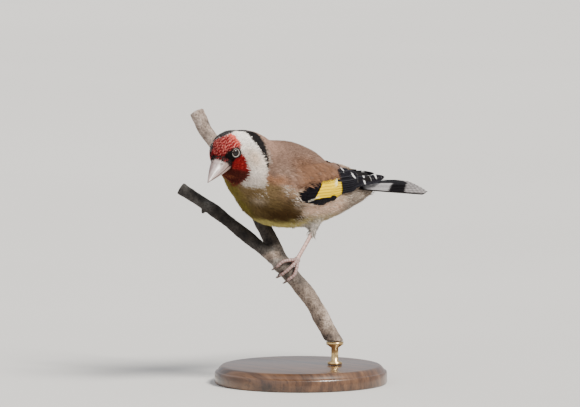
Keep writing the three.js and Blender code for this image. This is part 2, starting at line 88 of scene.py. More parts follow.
FORK = np.array([-1, -5.6, -35.3])
TWIGS = {
    "stem": [FORK, (6.5, 5.1, -51.2), (10, 9.4, -61.4), (14.2, 13.3, -71.5)],
    "near": [FORK, (-11.5, -17.2, -22.7), (-21.3, -28.2, -11), (-31, -38.9, -1.5)],
    "rear": [FORK, (-18, -6.3, -11.6), (-30, -6.8, 4.6), (-45, -10.7, 19.8), (-50, -12.4, 29.3)],
}
ANKLES = {"left": (6, 6.3, -21.2), "right": (-8.5, 8, -19.5)}
TOES = [(-4.2, 118), (0, 140), (3.6, 120), (0.5, -125)]

# The photo's view
VIEW_AZIMUTH, VIEW_ELEVATION = 48, 6
FRAME_WIDTH = 255.2
FRAME_OFFSET = (-1.32, -8.58)


# Frames and fields
def frame_of(origin, yaw, pitch, roll):
    turn = Matrix.Rotation(math.radians(yaw), 4, "Z")
    turn = turn @ Matrix.Rotation(math.radians(pitch), 4, "X")
    turn = turn @ Matrix.Rotation(math.radians(roll), 4, "Y")
    return np.array(Matrix.Translation(origin) @ turn)


def to_row(own, points):
    return np.asarray(points, float) @ own[:3, :3].T + own[:3, 3]


def to_own(own, points):
    return (np.asarray(points, float) - own[:3, 3]) @ own[:3, :3]


def unit(vectors):
    return vectors / np.maximum(np.linalg.norm(vectors, axis=-1, keepdims=True), 1e-9)


def ramp(value, low, high):
    t = np.clip((value - low) / (high - low), 0, 1)
    return t * t * (3 - 2 * t)


def lerp(a, b, t):
    return a + (b - a) * t


BODY = frame_of(BODY_CENTRE, 0, -BODY_PITCH, BODY_ROLL)
HEAD = frame_of(BODY_CENTRE + EYES_MIDDLE, HEAD_YAW, HEAD_PITCH, HEAD_ROLL)
BILL = HEAD @ frame_of(BILL_ROOT, 0, BILL_DROOP, 0)
TAIL = BODY @ frame_of(TAIL_ROOT, 0, -TAIL_PITCH, TAIL_ROLL)

FORMS = [
    (HEAD, (0, 3.2, -0.8), (6.6, 9.4, 6.2), 3.5),
    (HEAD, (0, 13, -5.5), (6.5, 4.5, 4.5), 3.5),
    (HEAD, (0, 2.5, -7.6), (6.4, 6.6, 4.8), 3.5),
    (HEAD, (3.8, 5, -4.6), (4.8, 7, 6), 3.5),
    (HEAD, (-3.8, 5, -4.6), (4.8, 7, 6), 3.5),
    (HEAD, (0, -3.6, -2.6), (4, 3.4, 3.8), 3.5),
    (BODY, (1, -27, 13), (9.8, 10, 10.4), 7),
    (BODY, (0, -27, 4.5), (9.4, 10.4, 10.8), 7),
    (BODY, (0, -3.5, 1), (14.2, 22.5, 16.2), 7),
    (BODY, (0, -12, 6.5), (11.2, 15.5, 12.2), 7),
    (BODY, (0, -13, -2), (13.2, 14.5, 14.2), 7),
    (BODY, (0, 3, -5.5), (12.2, 19.5, 12.8), 7),
    (BODY, (0, 18, -5), (9.8, 15, 10), 7),
    (BODY, (0, 31, -5.5), (5, 13, 5.2), 7),
]
HEAD_FORMS = FORMS[:6]
THIGH_MELT = 2.5
THIGH_RADIUS, ANKLE_RADIUS = 7, 0.75
THIGHS = {
    side: (to_row(BODY, (4 if side == "left" else -4, 10, -5)), BODY_CENTRE + ANKLES[side])
    for side in ANKLES
}


def melt_in(nearest, other, melt):
    mix = np.maximum(melt - np.abs(nearest - other), 0) / melt
    return np.minimum(nearest, other) - mix * mix * melt * 0.25


def thigh_distance(points, side):
    hip, ankle = THIGHS[side]
    shin = ankle - hip
    t = np.clip((points - hip) @ shin / (shin @ shin), 0, 1)
    radius = lerp(THIGH_RADIUS, ANKLE_RADIUS, t**1.2)
    return np.linalg.norm(points - hip - t[:, None] * shin, axis=1) - radius


def form_distance(points, forms):
    """How far each point lies outside rounded forms that melt together"""
    nearest = None
    for own, place, radii, melt in forms:
        radii = np.array(radii, float)
        local = (to_own(own, points) - place) / radii
        near = np.linalg.norm(local, axis=1)
        steep = np.linalg.norm(local / radii, axis=1)
        other = near * (near - 1) / np.maximum(steep, 1e-9)
        nearest = other if nearest is None else melt_in(nearest, other, melt)
    return nearest


def flesh(points):
    """How far each point lies outside the outline of the plumage"""
    nearest = form_distance(points, FORMS)
    for side in THIGHS:
        nearest = melt_in(nearest, thigh_distance(points, side), THIGH_MELT)
    return nearest


def slope(points, step=0.05):
    here = flesh(points)
    return here, np.stack([(flesh(points + step * axis) - here) / step for axis in np.eye(3)], -1)


def settle(points, heights, rounds=1):
    """Moves points along the outline's own slope to the heights over it"""
    for _ in range(rounds):
        here, way = slope(points)
        size = np.maximum((way * way).sum(1, keepdims=True), 1e-6)
        points = points - way * (here - heights)[:, None] / size
    return points, unit(way)


BILL_BASE = to_row(HEAD, (0, -7, -3))
VENT_TIP = to_row(BODY, (0, 50, -2.2))
HEAD_MIDDLE = to_row(HEAD, (0, 4, -3))


def lie(points, normals):
    """The way the plumage lies: back from the bill, down the neck, along the body and the legs"""
    away = np.linalg.norm(points - HEAD_MIDDLE, axis=1)
    on_body = ramp(away, 10, 25)[:, None]
    from_head = unit(points - HEAD_MIDDLE)
    way = unit(points - BILL_BASE) * (1 - on_body) + on_body * (from_head * 0.5 + BODY[:3, 1] * 0.6)
    for side in THIGHS:
        hip, ankle = THIGHS[side]
        on_leg = ramp(-thigh_distance(points, side), -1.4, -0.2)
        low = ramp(np.linalg.norm(points - ankle, axis=1), 12, 6)
        share = (on_leg * low)[:, None]
        way = way * (1 - share) + unit(ankle - hip) * share
    vent = ramp(to_own(BODY, points)[:, 1], 24, 33)[:, None]
    way = way * (1 - vent) + unit(VENT_TIP - points) * vent
    return unit(way - normals * (way * normals).sum(1, keepdims=True) * (1 - vent * 0.9))


# Markings
RED = np.array([0.33, 0.01, 0.014])
RED_EDGE = np.array([0.85, 0.27, 0.22])
RED_DARK = np.array([0.06, 0.01, 0.004])
BLACK = np.array([0.006, 0.0048, 0.0045])
CREAM = np.array([0.98, 0.92, 0.84])
BUFF = np.array([0.52, 0.38, 0.27])
MANTLE = np.array([0.22, 0.134, 0.098])
MANTLE_DARK = np.array([0.165, 0.075, 0.036])
OLIVE = np.array([0.14, 0.09, 0.032])
# olive darkened as painted shade of the lower breast
OLIVE_IN_SHADE = np.array([0.048, 0.022, 0.005])
# the belly's buff, darkened as painted shade of the underside
BELLY_BUFF_AND_SHADE = np.array([0.46, 0.36, 0.2])
YELLOW = np.array([1.0, 0.67, 0.0])


def paint(colours, colour, mask):
    return colours + (np.asarray(colour) - colours) * np.clip(mask, 0, 1)[:, None]


def hump(points, place, radii):
    off = (points - place) / radii
    return np.exp(-(off * off).sum(1))


def markings(points):
    """Colour of the plumage at points of the row frame"""
    head, body = to_own(HEAD, points), to_own(BODY, points)
    colours = np.tile(BUFF, (len(points), 1))
    colours = mark_underparts(colours, points, body)
    colours = mark_back(colours, body)
    return mark_head(colours, head, body)


def mark_underparts(colours, points, body):
    bx, by, bz = body.T
    wave = 0.9 * np.sin(bx * 0.7 + bz * 0.55) + 0.6 * np.sin(by * 0.8 - bx * 0.4)
    fine = 0.7 * np.sin(bz * 2.3 + by * 0.5 + bx) + 0.5 * np.sin(bx * 3.1 - bz * 1.7)
    # painted shade: the lower belly in a darker buff
    colours = paint(colours, BELLY_BUFF_AND_SHADE, ramp(-bz + wave * 0.5, 9, 14))
    colours = paint(colours, (0.72, 0.48, 0.34), ramp(by, -8, 0) * ramp(-bz, 0, 6) * ramp(bz, -13, -9))
    colours = paint(colours, (0.42, 0.29, 0.18), ramp(by, -6, 2) * ramp(bz, -8, -4) * 0.5)
    edge = np.interp(bz, [-15, -5.5, 0, 3], [-1.5, -9.5, -16, -20])
    breast = ramp(edge - by + wave * 1.2 + fine, -3.6, 3.6)
    colours = paint(colours, OLIVE, breast)
    # painted shade: the lower breast darker olive
    low = ramp(-bz + wave, 2.5, 9) * ramp(by + wave * 1.5 + fine, -29, -17)
    colours = paint(colours, OLIVE_IN_SHADE, breast * low * 0.9)
    colours = paint(colours, (0.2, 0.13, 0.06), breast * ramp(bz + wave * 0.5, -5, 0) * 0.8)
    far = ramp(-bx + wave, -6, 0) * ramp(-by + fine * 0.5, 20, 27)
    colours = paint(colours, (0.16, 0.125, 0.02), breast * far * 0.85)
    colours = paint(colours, (0.6, 0.48, 0.36), hump(body, (8.1, -27.2, -4.5), (3, 3.4, 1.8)) * 0.45)
    colours = paint(colours, (0.2, 0.12, 0.07), hump(body, (14.6, -15.5, 0), (6, 5.5, 4.6)) * 0.8)
    middle = ramp(-bz + wave * 0.5 + fine * 0.4, 12.5, 16) * ramp(-by, -16, -4)
    colours = paint(colours, (0.48, 0.4, 0.13), middle)
    colours = paint(colours, (0.28, 0.215, 0.165), ramp(by, 16, 28) * ramp(-bz, 0, 3))
    for name in THIGHS:
        off = np.linalg.norm(points - THIGHS[name][1], axis=1)
        colours = paint(colours, (0.5, 0.45, 0.4), ramp(-off + fine, -9, -4))
    return colours


def pale_share(body):
    """Which share of the barbs is whitish among darker ones"""
    bx, by, bz = body.T
    across = (by + 19.6) * 0.67 + (bz - 4.1) * 0.74
    along = (by + 19.6) * 0.74 - (bz - 4.1) * 0.67
    share = 0.5 * np.exp(-((across / 1.7) ** 2))
    share = share * ramp(along, -1, 6) * ramp(-along, -18, -12) * ramp(bx, 4, 9)
    patch = 0.3 * hump(body, (9.6, -27, -1.6), (2.6, 2.6, 1.8))
    share += patch + 0.2 * ramp(-bz, 1, 5) * ramp(by, -9, -3)
    return np.clip(share, 0, 0.75)


def mark_back(colours, body):
    bx, by, bz = body.T
    wave = 0.9 * np.sin(bx * 0.7 + bz * 0.55) + 0.6 * np.sin(by * 0.8 - bx * 0.4)
    fine = 0.5 * np.sin(bx * 2.9 + by * 1.3) + 0.5 * np.sin(by * 2.1 - bx * 1.9 + bz)
    upper = ramp(bz + wave * 0.5 - np.interp(by, [-27, -12, 0], [4.4, 1.6, -1]), -1.6, 1.6)
    colours = paint(colours, MANTLE, upper)
    colours = paint(colours, MANTLE * 1.55, upper * ramp(bz, 12, 20) * ramp(-by, 8, 20))
    colours = paint(colours, (0.33, 0.22, 0.165), upper * hump(body, (12, -18, 8), (6, 6, 3.5)) * 0.7)
    sides = ramp(np.abs(bx) + fine, 8, 12.5) * ramp(by, -18, -8)
    colours = paint(colours, MANTLE_DARK, upper * sides * 0.75)
    shoulder = ramp(-bz + fine, -9, -5) * ramp(-by, 14, 20)
    colours = paint(colours, (0.4, 0.17, 0.07), upper * shoulder * 0.6)
    colours = paint(colours, MANTLE * 0.82, upper * ramp(fine, 0.3, 0.9) * 0.5)
    return paint(colours, (0.42, 0.31, 0.22), upper * ramp(by, 20, 28))


def eye_distance(head):
    """How far points of the head frame lie from the line through the nearer eye"""
    own = head * (np.where(head[:, :1] < 0, -1.0, 1.0) * (1, 0, 0) + (0, 1, 1))
    way = unit(EYE_WAY.astype(float))
    off = own - EYE_FROM
    return np.linalg.norm(off - (off @ way)[:, None] * way, axis=1)


def mark_head(colours, head, body):
    hx, hy, hz = head.T
    bx, by, bz = body.T
    side = np.abs(hx)
    mirrored = np.stack([side, hy, hz], 1)
    # cheek, collar and crown
    jag = 0.28 * np.sin(bz * 5.1 + bx * 1.3) + 0.18 * np.sin(bz * 9.7 - bx * 2)
    collar = np.interp(bz, [10, 12.5, 15, 18.4, 21.5, 24], [-26.8, -27.2, -27.9, -28.9, -29.6, -29.6])
    behind = by - collar - np.minimum(bx, 0) * 0.3 + jag
    cheek = ramp(-behind, -0.4, 0.4) * ramp(bz + jag * 2, 0.6, 3.8)
    cheek = cheek * (1 - ramp(7.5 - bx + jag, 0, 3) * ramp(8 - bz, 0, 4) * ramp(bx, -12, -8))
    colours = paint(colours, CREAM, cheek)
    # painted shade: the lower cheek greyer
    colours = paint(colours, (0.52, 0.43, 0.37), cheek * ramp(-bz + jag, -11, -4) * 0.85)
    colours = paint(colours, (0.74, 0.54, 0.38), cheek * hump(mirrored, (12, 3.6, -5), (5, 3.2, 6)) * 0.8)
    rear_rim = ramp(by - collar + 3, 0, 3) * ramp(-bz, -16, -10)
    colours = paint(colours, (0.6, 0.48, 0.38), cheek * rear_rim * 0.45)
    half = np.interp(bz, [10, 12.5, 15, 18.4, 21.5, 24], [0.3, 0.8, 1.15, 1.8, 2.6, 2.7])
    fringe = ramp(behind, 0, 0.6) * ramp(-behind, -3.4, -2) * ramp(bz, 11, 14)
    colours = paint(colours, (0.38, 0.29, 0.235), fringe)
    bar = ramp(half - np.abs(behind), -0.3, 0.3) * ramp(bz, 9.5, 11)
    near = np.interp(hy, [0.6, 2.3, 4.2, 6.8, 10, 12.9, 14], [-3.5, -2.1, -0.5, 1.0, 1.5, 4.0, 6])
    crown = ramp(near + 2 - np.abs(hx + 2) + jag, -0.3, 0.3) * ramp(hz, -2, 1) * ramp(-behind, -2, 0)
    beyond = ramp(-hx, 1.5, 2.5) * ramp(hz + jag, 0.8, 1.6)
    beyond = beyond * ramp(hy - hz * 0.5, 0.2, 1) * ramp(-behind, -2, 0)
    crown = np.maximum(crown, beyond)
    colours = paint(colours, (0.012, 0.01, 0.01), bar)
    # painted sheen: faint grey streaks added over the black crown
    crown_sheen = ramp(np.sin(hx * 6 + hy * 1.3), 0, 0.8) * 0.05
    colours = paint(colours, (0.035, 0.03, 0.031), crown)
    colours = colours + (crown * crown_sheen)[:, None]
    # red face
    back = np.interp(
        hz,
        [-14.5, -12.3, -10.7, -8.2, -5.3, -1.6, 0.6, 1.6, 2, 3.7, 4.4, 4.9],
        [-4.2, -3.3, -1.9, -0.7, 0.1, 1.1, 1.4, 2.7, 3.6, 4.8, 6, 6.3],
    )
    back = back + jag + 2.2 * ramp(-hx, 3.2, 4.8) * ramp(-hz, -4, -2) - crown * 20
    red = ramp(back - hy, -0.3, 0.3) * ramp(hz + 16.2 - 0.045 * hx * hx + jag, -0.6, 0.6)
    colours = paint(colours, RED, red)
    along = head @ (0.8, 0.58, 0.13)
    line = head @ (-0.36, 0.38, 0.62) + 0.22 * np.sin(along * 1.5) + 0.14 * np.sin(along * 3.4 + hz)
    pale = np.sin(math.tau * line)
    forehead = red * ramp(hz, 1.2, 2.6)
    colours = paint(colours, (0.09, 0.006, 0.008), forehead * ramp(-pale, 0.1, 0.8) * 0.85)
    colours = paint(colours, RED_EDGE, forehead * ramp(pale, 0.3, 0.85) * (0.75 + 0.25 * ramp(hy, 0, 5)))
    colours = paint(colours, (0.8, 0.13, 0.09), forehead * ramp(hy + hx * 0.4, 3.6, 6) * 0.75)
    speck = ramp(np.sin(hy * 5 + hz * 2.2) * np.sin(hz * 4.3 - hx), 0.25, 0.8)
    colours = paint(colours, (0.6, 0.09, 0.05), red * speck * ramp(-hz, -1, 1) * 0.45)
    dark = ramp(-hz - 4.4 - 0.36 * np.maximum(side - 4, 0) + jag, 0, 2.4)
    colours = paint(colours, (0.06, 0.014, 0.009), red * dark * 0.92)
    fleck = hump(np.stack([side, hy, hz], 1), (3.1, -4.3, -10.3), (2.2, 3, 0.7)) * ramp(jag, -0.1, 0.2)
    colours = paint(colours, (0.42, 0.13, 0.05), red * fleck)
    # lores and the rims of bill and eye
    rear = np.interp(hz, [-8, -6.9, -2.6, -1.6, -0.9, 3], [-5.2, -4.2, -3.3, -2.4, 0.3, 0.6])
    top = np.interp(hy, [-7, -5.5, -2.6, -1], [1.6, 1.8, 2.9, 2.5])
    lores = ramp(rear - hy, -0.3, 0.3) * ramp(top - hz, -0.3, 0.3) * ramp(hz, -8.5, -7.5)
    lores = lores * ramp(np.where(hx > 0, hx - 2.4, -hx - 4.2) + jag, -0.4, 0.4)
    colours = paint(colours, BLACK, lores)
    rim = np.where(hx > 0, 2.45, 2.3) - eye_distance(head)
    return paint(colours, BLACK, ramp(rim, -0.15, 0.15) * ramp(side, 2, 4))


# Meshes and materials
def new_piece(name, mesh, material, replaced=()):
    for polygon in mesh.polygons:
        polygon.use_smooth = True
    mesh.materials.append(material)
    piece = bpy.data.objects.new(name, mesh)
    bpy.context.scene.collection.objects.link(piece)
    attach(piece, "root")
    if replaced:
        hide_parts(*replaced)
    return piece


def mesh_from_bmesh(name, bm):
    mesh = bpy.data.meshes.new(name)
    bm.to_mesh(mesh)
    bm.free()
    return mesh


def tint(mesh, colours, attribute="tone"):
    layer = mesh.color_attributes.new(attribute, "FLOAT_COLOR", "POINT")
    rgba = np.ones((len(mesh.vertices), 4), np.float32)
    rgba[:, :3] = colours
    layer.data.foreach_set("color", rgba.ravel())


def places_of(mesh):
    places = np.empty(len(mesh.vertices) * 3, np.float32)
    mesh.vertices.foreach_get("co", places)
    return places.reshape(-1, 3).astype(float)


def sheet_pattern(across, along, closed=False):
    """Corner places (u from -1 to 1, v from 0 to 1, w 0 or -1) and faces of a strip of cells"""
    bm = bmesh.new()
    bmesh.ops.create_grid(bm, x_segments=across, y_segments=along, size=1)
    if closed:
        made = bmesh.ops.extrude_face_region(bm, geom=bm.faces[:], use_keep_orig=True)
        lower = [v for v in made["geom"] if isinstance(v, bmesh.types.BMVert)]
        bmesh.ops.translate(bm, verts=lower, vec=(0, 0, -1))
        bmesh.ops.recalc_face_normals(bm, faces=bm.faces[:])
    bm.verts.ensure_lookup_table()
    places = np.array([v.co for v in bm.verts])
    faces = np.array([[v.index for v in f.verts] for f in bm.faces])
    bm.free()
    places[:, 1] = (places[:, 1] + 1) / 2
    return places, faces


def joined_mesh(name, points, faces, colours, maps):
    """One mesh from many alike: points (count, corners, 3) and the faces of the first"""
    count, corners = points.shape[:2]
    every = (faces[None] + (np.arange(count) * corners)[:, None, None]).reshape(-1, faces.shape[1])
    mesh = bpy.data.meshes.new(name)
    mesh.vertices.add(count * corners)
    mesh.vertices.foreach_set("co", (points.reshape(-1, 3) * MM).astype(np.float32).ravel())
    mesh.loops.add(every.size)
    mesh.loops.foreach_set("vertex_index", every.ravel().astype(np.int32))
    mesh.polygons.add(len(every))
    mesh.polygons.foreach_set("loop_start", np.arange(0, every.size, faces.shape[1], dtype=np.int32))
    mesh.update(calc_edges=True)
    for title, corners_uv in maps.items():
        layer = mesh.uv_layers.new(name=title)
        layer.data.foreach_set("uv", corners_uv.reshape(-1, 2)[every.ravel()].astype(np.float32).ravel())
    tint(mesh, colours.reshape(-1, 3))
    return mesh


def material_of(name, roughness, **constants):
    material = bpy.data.materials.new(name)
    material.use_nodes = True
    shader = material.node_tree.nodes["Principled BSDF"]
    shader.inputs["Roughness"].default_value = roughness
    for title, value in constants.items():
        shader.inputs[title.replace("_", " ")].default_value = value
    return material, material.node_tree.nodes, material.node_tree.links, shader


def mix_node(nodes, links, blend, factor, first, second):
    mix = nodes.new("ShaderNodeMix")
    mix.data_type = "RGBA"
    mix.blend_type = blend
    for socket, value in ((mix.inputs[0], factor), (mix.inputs[6], first), (mix.inputs[7], second)):
        if isinstance(value, bpy.types.NodeSocket):
            links.new(value, socket)
        elif isinstance(value, (int, float)):
            socket.default_value = value
        else:
            socket.default_value = (*value, 1)
    return mix.outputs[2]


def noise_node(nodes, links, scale, detail=3, source=None, stretch=None):
    texture = nodes.new("ShaderNodeTexNoise")
    texture.inputs["Scale"].default_value = scale
    texture.inputs["Detail"].default_value = detail
    if source is None:
        source = nodes.new("ShaderNodeTexCoord").outputs["Object"]
    if stretch:
        mapping = nodes.new("ShaderNodeMapping")
        mapping.inputs["Scale"].default_value = stretch
        links.new(source, mapping.inputs["Vector"])
        source = mapping.outputs["Vector"]
    links.new(source, texture.inputs["Vector"])
    return texture.outputs["Fac"]


def ramp_node(nodes, links, value, stops):
    ramp_ = nodes.new("ShaderNodeValToRGB")
    ramp_.color_ramp.elements[0].position = stops[0][0]
    ramp_.color_ramp.elements[0].color = (*stops[0][1], 1)
    ramp_.color_ramp.elements[1].position = stops[-1][0]
    ramp_.color_ramp.elements[1].color = (*stops[-1][1], 1)
    for place, colour in stops[1:-1]:
        ramp_.color_ramp.elements.new(place).color = (*colour, 1)
    links.new(value, ramp_.inputs["Fac"])
    return ramp_.outputs["Color"]


def bump_node(nodes, links, height, shader, strength, distance):
    bump = nodes.new("ShaderNodeBump")
    bump.inputs["Strength"].default_value = strength
    bump.inputs["Distance"].default_value = distance
    links.new(height, bump.inputs["Height"])
    links.new(bump.outputs["Normal"], shader.inputs["Normal"])


def tone_node(nodes):
    attribute = nodes.new("ShaderNodeAttribute")
    attribute.attribute_name = "tone"
    return attribute.outputs["Color"]


def grained_tone(nodes, links, shader, scale, detail, stops):
    """The mesh's own tone under a fine grain, as the base colour; gives back the grain"""
    grain = noise_node(nodes, links, scale, detail)
    shade = ramp_node(nodes, links, grain, stops)
    mixed = mix_node(nodes, links, "MULTIPLY", 1.0, tone_node(nodes), shade)
    links.new(mixed, shader.inputs["Base Color"])
    return grain


def plumage_material(name, roughness=0.85, sheen=0.0, specular=0.12, barbs=0.0, grain=900):
    material, nodes, links, shader = material_of(
        name, roughness, Sheen_Weight=sheen, Sheen_Roughness=0.6, Specular_IOR_Level=specular
    )
    grained_tone(nodes, links, shader, grain, 4, [(0.25, (0.8, 0.8, 0.8)), (0.75, (1.0, 1.0, 1.0))])
    if barbs:
        uv = nodes.new("ShaderNodeUVMap")
        uv.uv_map = "lie"
        wave = nodes.new("ShaderNodeTexWave")
        wave.wave_type = "BANDS"
        wave.bands_direction = "DIAGONAL"
        wave.inputs["Scale"].default_value = 1.0
        wave.inputs["Distortion"].default_value = 1.5
        wave.inputs["Detail"].default_value = 2
        mapping = nodes.new("ShaderNodeMapping")
        mapping.inputs["Scale"].default_value = (4, 70, 1)
        links.new(uv.outputs["UV"], mapping.inputs["Vector"])
        links.new(mapping.outputs["Vector"], wave.inputs["Vector"])
        bump_node(nodes, links, wave.outputs["Fac"], shader, barbs, 0.00012)
    return material


# Skin and coat
def build_skin(depth):
    """One closed skin under the plumage of head, neck, body and thighs"""
    bm = bmesh.new()
    flesh_nodes = ("head", "neck", "torso", "thigh_left", "thigh_right")
    for node in flesh_nodes:
        bm.from_mesh(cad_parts[node].data)
    bmesh.ops.remove_doubles(bm, verts=bm.verts[:], dist=1e-6)
    bmesh.ops.recalc_face_normals(bm, faces=bm.faces[:])
    for vertex in bm.verts:
        vertex.co += vertex.normal * 0.0005
    mesh = mesh_from_bmesh("skin", bm)
    rough = bpy.data.objects.new("skin_rough", mesh)
    bpy.context.scene.collection.objects.link(rough)
    remesh = rough.modifiers.new("one", "REMESH")
    remesh.mode = "VOXEL"
    remesh.voxel_size = 0.0008
    graph = bpy.context.evaluated_depsgraph_get()
    skin = bpy.data.meshes.new_from_object(rough.evaluated_get(graph))
    bpy.data.objects.remove(rough)
    places = places_of(skin) / MM
    inward = np.full(len(places), -depth)
    places, _ = settle(places, inward, 3)
    skin.vertices.foreach_set("co", (places * MM).astype(np.float32).ravel())
    skin.update()
    skin.name = "skin"
    tint(skin, markings(places) * 0.7)
    material = plumage_material("down_under_the_plumage")
    return new_piece("skin", skin, material, flesh_nodes)


def triangles_of(mesh):
    mesh.calc_loop_triangles()
    index = np.empty(len(mesh.loop_triangles) * 3, np.int32)
    mesh.loop_triangles.foreach_get("vertices", index)
    return (places_of(mesh) / MM)[index.reshape(-1, 3)]


def scatter(triangles, spacing, rng):
    """Evenly spread places on the triangles, about `spacing` apart"""
    sides = np.cross(triangles[:, 1] - triangles[:, 0], triangles[:, 2] - triangles[:, 0])
    areas = np.linalg.norm(sides, axis=1) / 2
    count = int(areas.sum() / spacing**2 * 5)
    chosen = rng.choice(len(triangles), count, p=areas / areas.sum())
    a, b = rng.random((2, count, 1))
    fold = a + b > 1
    a, b = np.where(fold, 1 - a, a), np.where(fold, 1 - b, b)
    corner = triangles[chosen]
    points = corner[:, 0] + a * (corner[:, 1] - corner[:, 0]) + b * (corner[:, 2] - corner[:, 0])
    cells = np.floor(points / spacing).astype(np.int64)
    keys = cells @ np.array([1, 4096, 4096 * 4096])
    _, first = np.unique(keys, return_index=True)
    return points[np.sort(first)]


def tree_of(names):
    bm = bmesh.new()
    for name in names:
        bm.from_mesh(bpy.data.objects[name].data)
    tree = BVHTree.FromBMesh(bm)
    bm.free()
    return tree


def covered(tree, points, normals, reach):
    """Which points something of the tree lies over"""
    hits = np.zeros(len(points), bool)
    for i, (point, normal) in enumerate(zip(points * MM, normals)):
        hits[i] = tree.ray_cast(Vector(point), Vector(normal), reach * MM)[0] is not None
    return hits


def over_wings(points, clear):
    """Points lifted clear of the folded wings, and how far each is on a wing's bare part"""
    x, y, z = to_own(BODY, points).T
    lift = np.interp(y, [-14, 0, 10, 22, 40], [3.0, 3.0, 2.7, 2.3, 1.6]) + clear
    wide, tall = profile(SHEET_WIDTH, y) + lift, profile(SHEET_HEIGHT, y) + lift
    turn = np.degrees(np.arctan2(z / tall, np.abs(x) / wide))
    above_low, below_high = turn - profile(SHEET_LOW, y), profile(SHEET_HIGH, y) - turn
    ratio = np.sqrt((x / wide) ** 2 + (z / tall) ** 2)
    within = np.minimum(np.minimum(above_low, below_high + 20) * 0.26, np.minimum(y + 15, 52 - y))
    grow = 1 + (1 / np.clip(ratio, 0.3, 1) - 1) * ramp(within, -1.6, 0.6)
    low_edge = np.interp(y, *zip(*MANTLE_LOW))
    rear_edge = np.interp(turn, *zip(*MANTLE_REAR))
    under_mantle = np.minimum((turn - low_edge) * 0.26, rear_edge - y)
    edges = np.minimum(above_low + 5, below_high + 5) * 0.26
    bare = np.minimum(edges, np.minimum(y + 12.3, -under_mantle))
    return to_row(BODY, np.stack([x * grow, y, z * grow], 1)), bare


def strands(roots, lengths, heights, turns, steps, over=False, free=None):
    """Rows of points from each root along the lie of the coat, with their normals and ways"""
    points, normals = settle(roots, heights[0], 2)
    free = np.zeros(len(roots)) if free is None else free
    rows, ups, ways = [points], [normals], []
    for step in range(steps):
        way = lie(points, normals)
        aside = np.cross(way, normals)
        way = way * np.cos(turns)[:, None] + aside * np.sin(turns)[:, None]
        if ways:
            way = unit(lerp(way, ways[-1], free[:, None]))
        ways.append(way)
        points = points + way * (lengths / steps)[:, None]
        settled, normals = settle(points, heights[step + 1], 1)
        outside = ((settled - points) * normals).sum(1) < 0
        points = lerp(settled, points, (free * outside)[:, None])
        rows.append(points)
        ups.append(normals)
    ways.append(ways[-1])
    rows, ups, ways = (np.stack(item, 1) for item in (rows, ups, ways))
    if over:
        for step in range(steps + 1):
            rows[:, step] = over_wings(rows[:, step], 0.05 + 0.4 * step / steps)[0]
    return rows, ups, ways


def ribbon_points(pattern, rows, ups, ways, widths, outline, camber=0.0):
    """Lays a sheet pattern along each row of points"""
    places, _ = pattern
    steps = rows.shape[1] - 1
    index = np.rint(places[:, 1] * steps).astype(int)
    across = unit(np.cross(ways, ups))
    reach = np.interp(places[:, 1], *outline)
    side = across[:, index] * (places[:, 0] * reach)[None, :, None] * (widths / 2)[:, None, None]
    arch = ups[:, index] * ((1 - places[:, 0] ** 2) * camber)[None, :, None] * widths[:, None, None]
    return rows[:, index] + side + arch


def unwrap(points):
    """Each point's place on an unwrap of the skin: round the spine and along it, legs aside"""
    head, body = to_own(HEAD, points), to_own(BODY, points)
    away = np.linalg.norm(points - HEAD_MIDDLE, axis=1)
    on_body = ramp(away, 10, 25)
    x = lerp(head[:, 0], body[:, 0], on_body)
    z = lerp(head[:, 2] + 3, body[:, 2] + 2, on_body)
    u = 0.02 + 0.8 * (np.arctan2(x, z) / math.tau + 0.5)
    v = lerp(0.02 + (head[:, 1] + 10) * 0.012, 0.34 + (body[:, 1] + 34) * 0.0077, on_body)
    for island, side in enumerate(THIGHS):
        hip, ankle = THIGHS[side]
        shin = ankle - hip
        t = (points - hip) @ shin / (shin @ shin)
        off = points - hip - t[:, None] * shin
        on_leg = (thigh_distance(points, side) < 0.4) & (t > 0.45)
        turn = np.arctan2(off @ BODY[:3, 0], off @ BODY[:3, 1]) / math.tau + 0.5
        u = np.where(on_leg, 0.86 + 0.1 * turn, u)
        v = np.where(on_leg, 0.05 + 0.5 * island + 0.4 * np.clip(t, 0, 1), v)
    return np.stack([np.clip(u, 0.01, 0.98), np.clip(v, 0.01, 0.98)], 1)


def bake_patches(roots, places):
    """A small patch of the map for each tuft, at its root's place on the unwrap"""
    patch = places[:, :2] * (PATCH_WIDTH / 2, PATCH_LENGTH)
    return roots[:, None] + patch[None]


PATCH_WIDTH, PATCH_LENGTH = 0.0026, 0.0026
PIECE_TRIANGLES = 190000
FEATHER_OUTLINE = ([0, 0.3, 0.66, 0.9, 1], [0.55, 1, 0.95, 0.6, 0.2])
STRAND_OUTLINE = ([0, 0.34, 0.67, 1], [0.8, 1, 0.75, 0.1])

# spacing of the feathers, length, width, strands to a feather, their width, spread, lift, looseness
COAT = {
    "face": (0.62, 1.5, 0.8, 10, 0.14, 0.3, 0.25, 0.14),
    "neck": (0.9, 2.9, 1.4, 16, 0.17, 0.3, 0.36, 0.14),
    "body": (1.25, 4.4, 2.1, 22, 0.19, 0.26, 0.42, 0.13),
    "belly": (1.15, 4.8, 1.8, 22, 0.17, 0.34, 0.8, 0.18),
    "legs": (0.6, 4.0, 0.8, 20, 0.19, 0.5, 1.1, 0.36),
}


def region_of(points):
    body = to_own(BODY, points)
    away = np.linalg.norm(points - HEAD_MIDDLE, axis=1)
    names = np.full(len(points), "body", dtype="<U8")
    names[(body[:, 2] < -3) & (body[:, 1] > -30)] = "belly"
    names[away < 19] = "neck"
    head = to_own(HEAD, points)
    names[(away < 13) & (head[:, 1] < 6)] = "face"
    for side in THIGHS:
        ankle = THIGHS[side][1]
        names[np.linalg.norm(points - ankle, axis=1) < 7.5] = "legs"
    return names


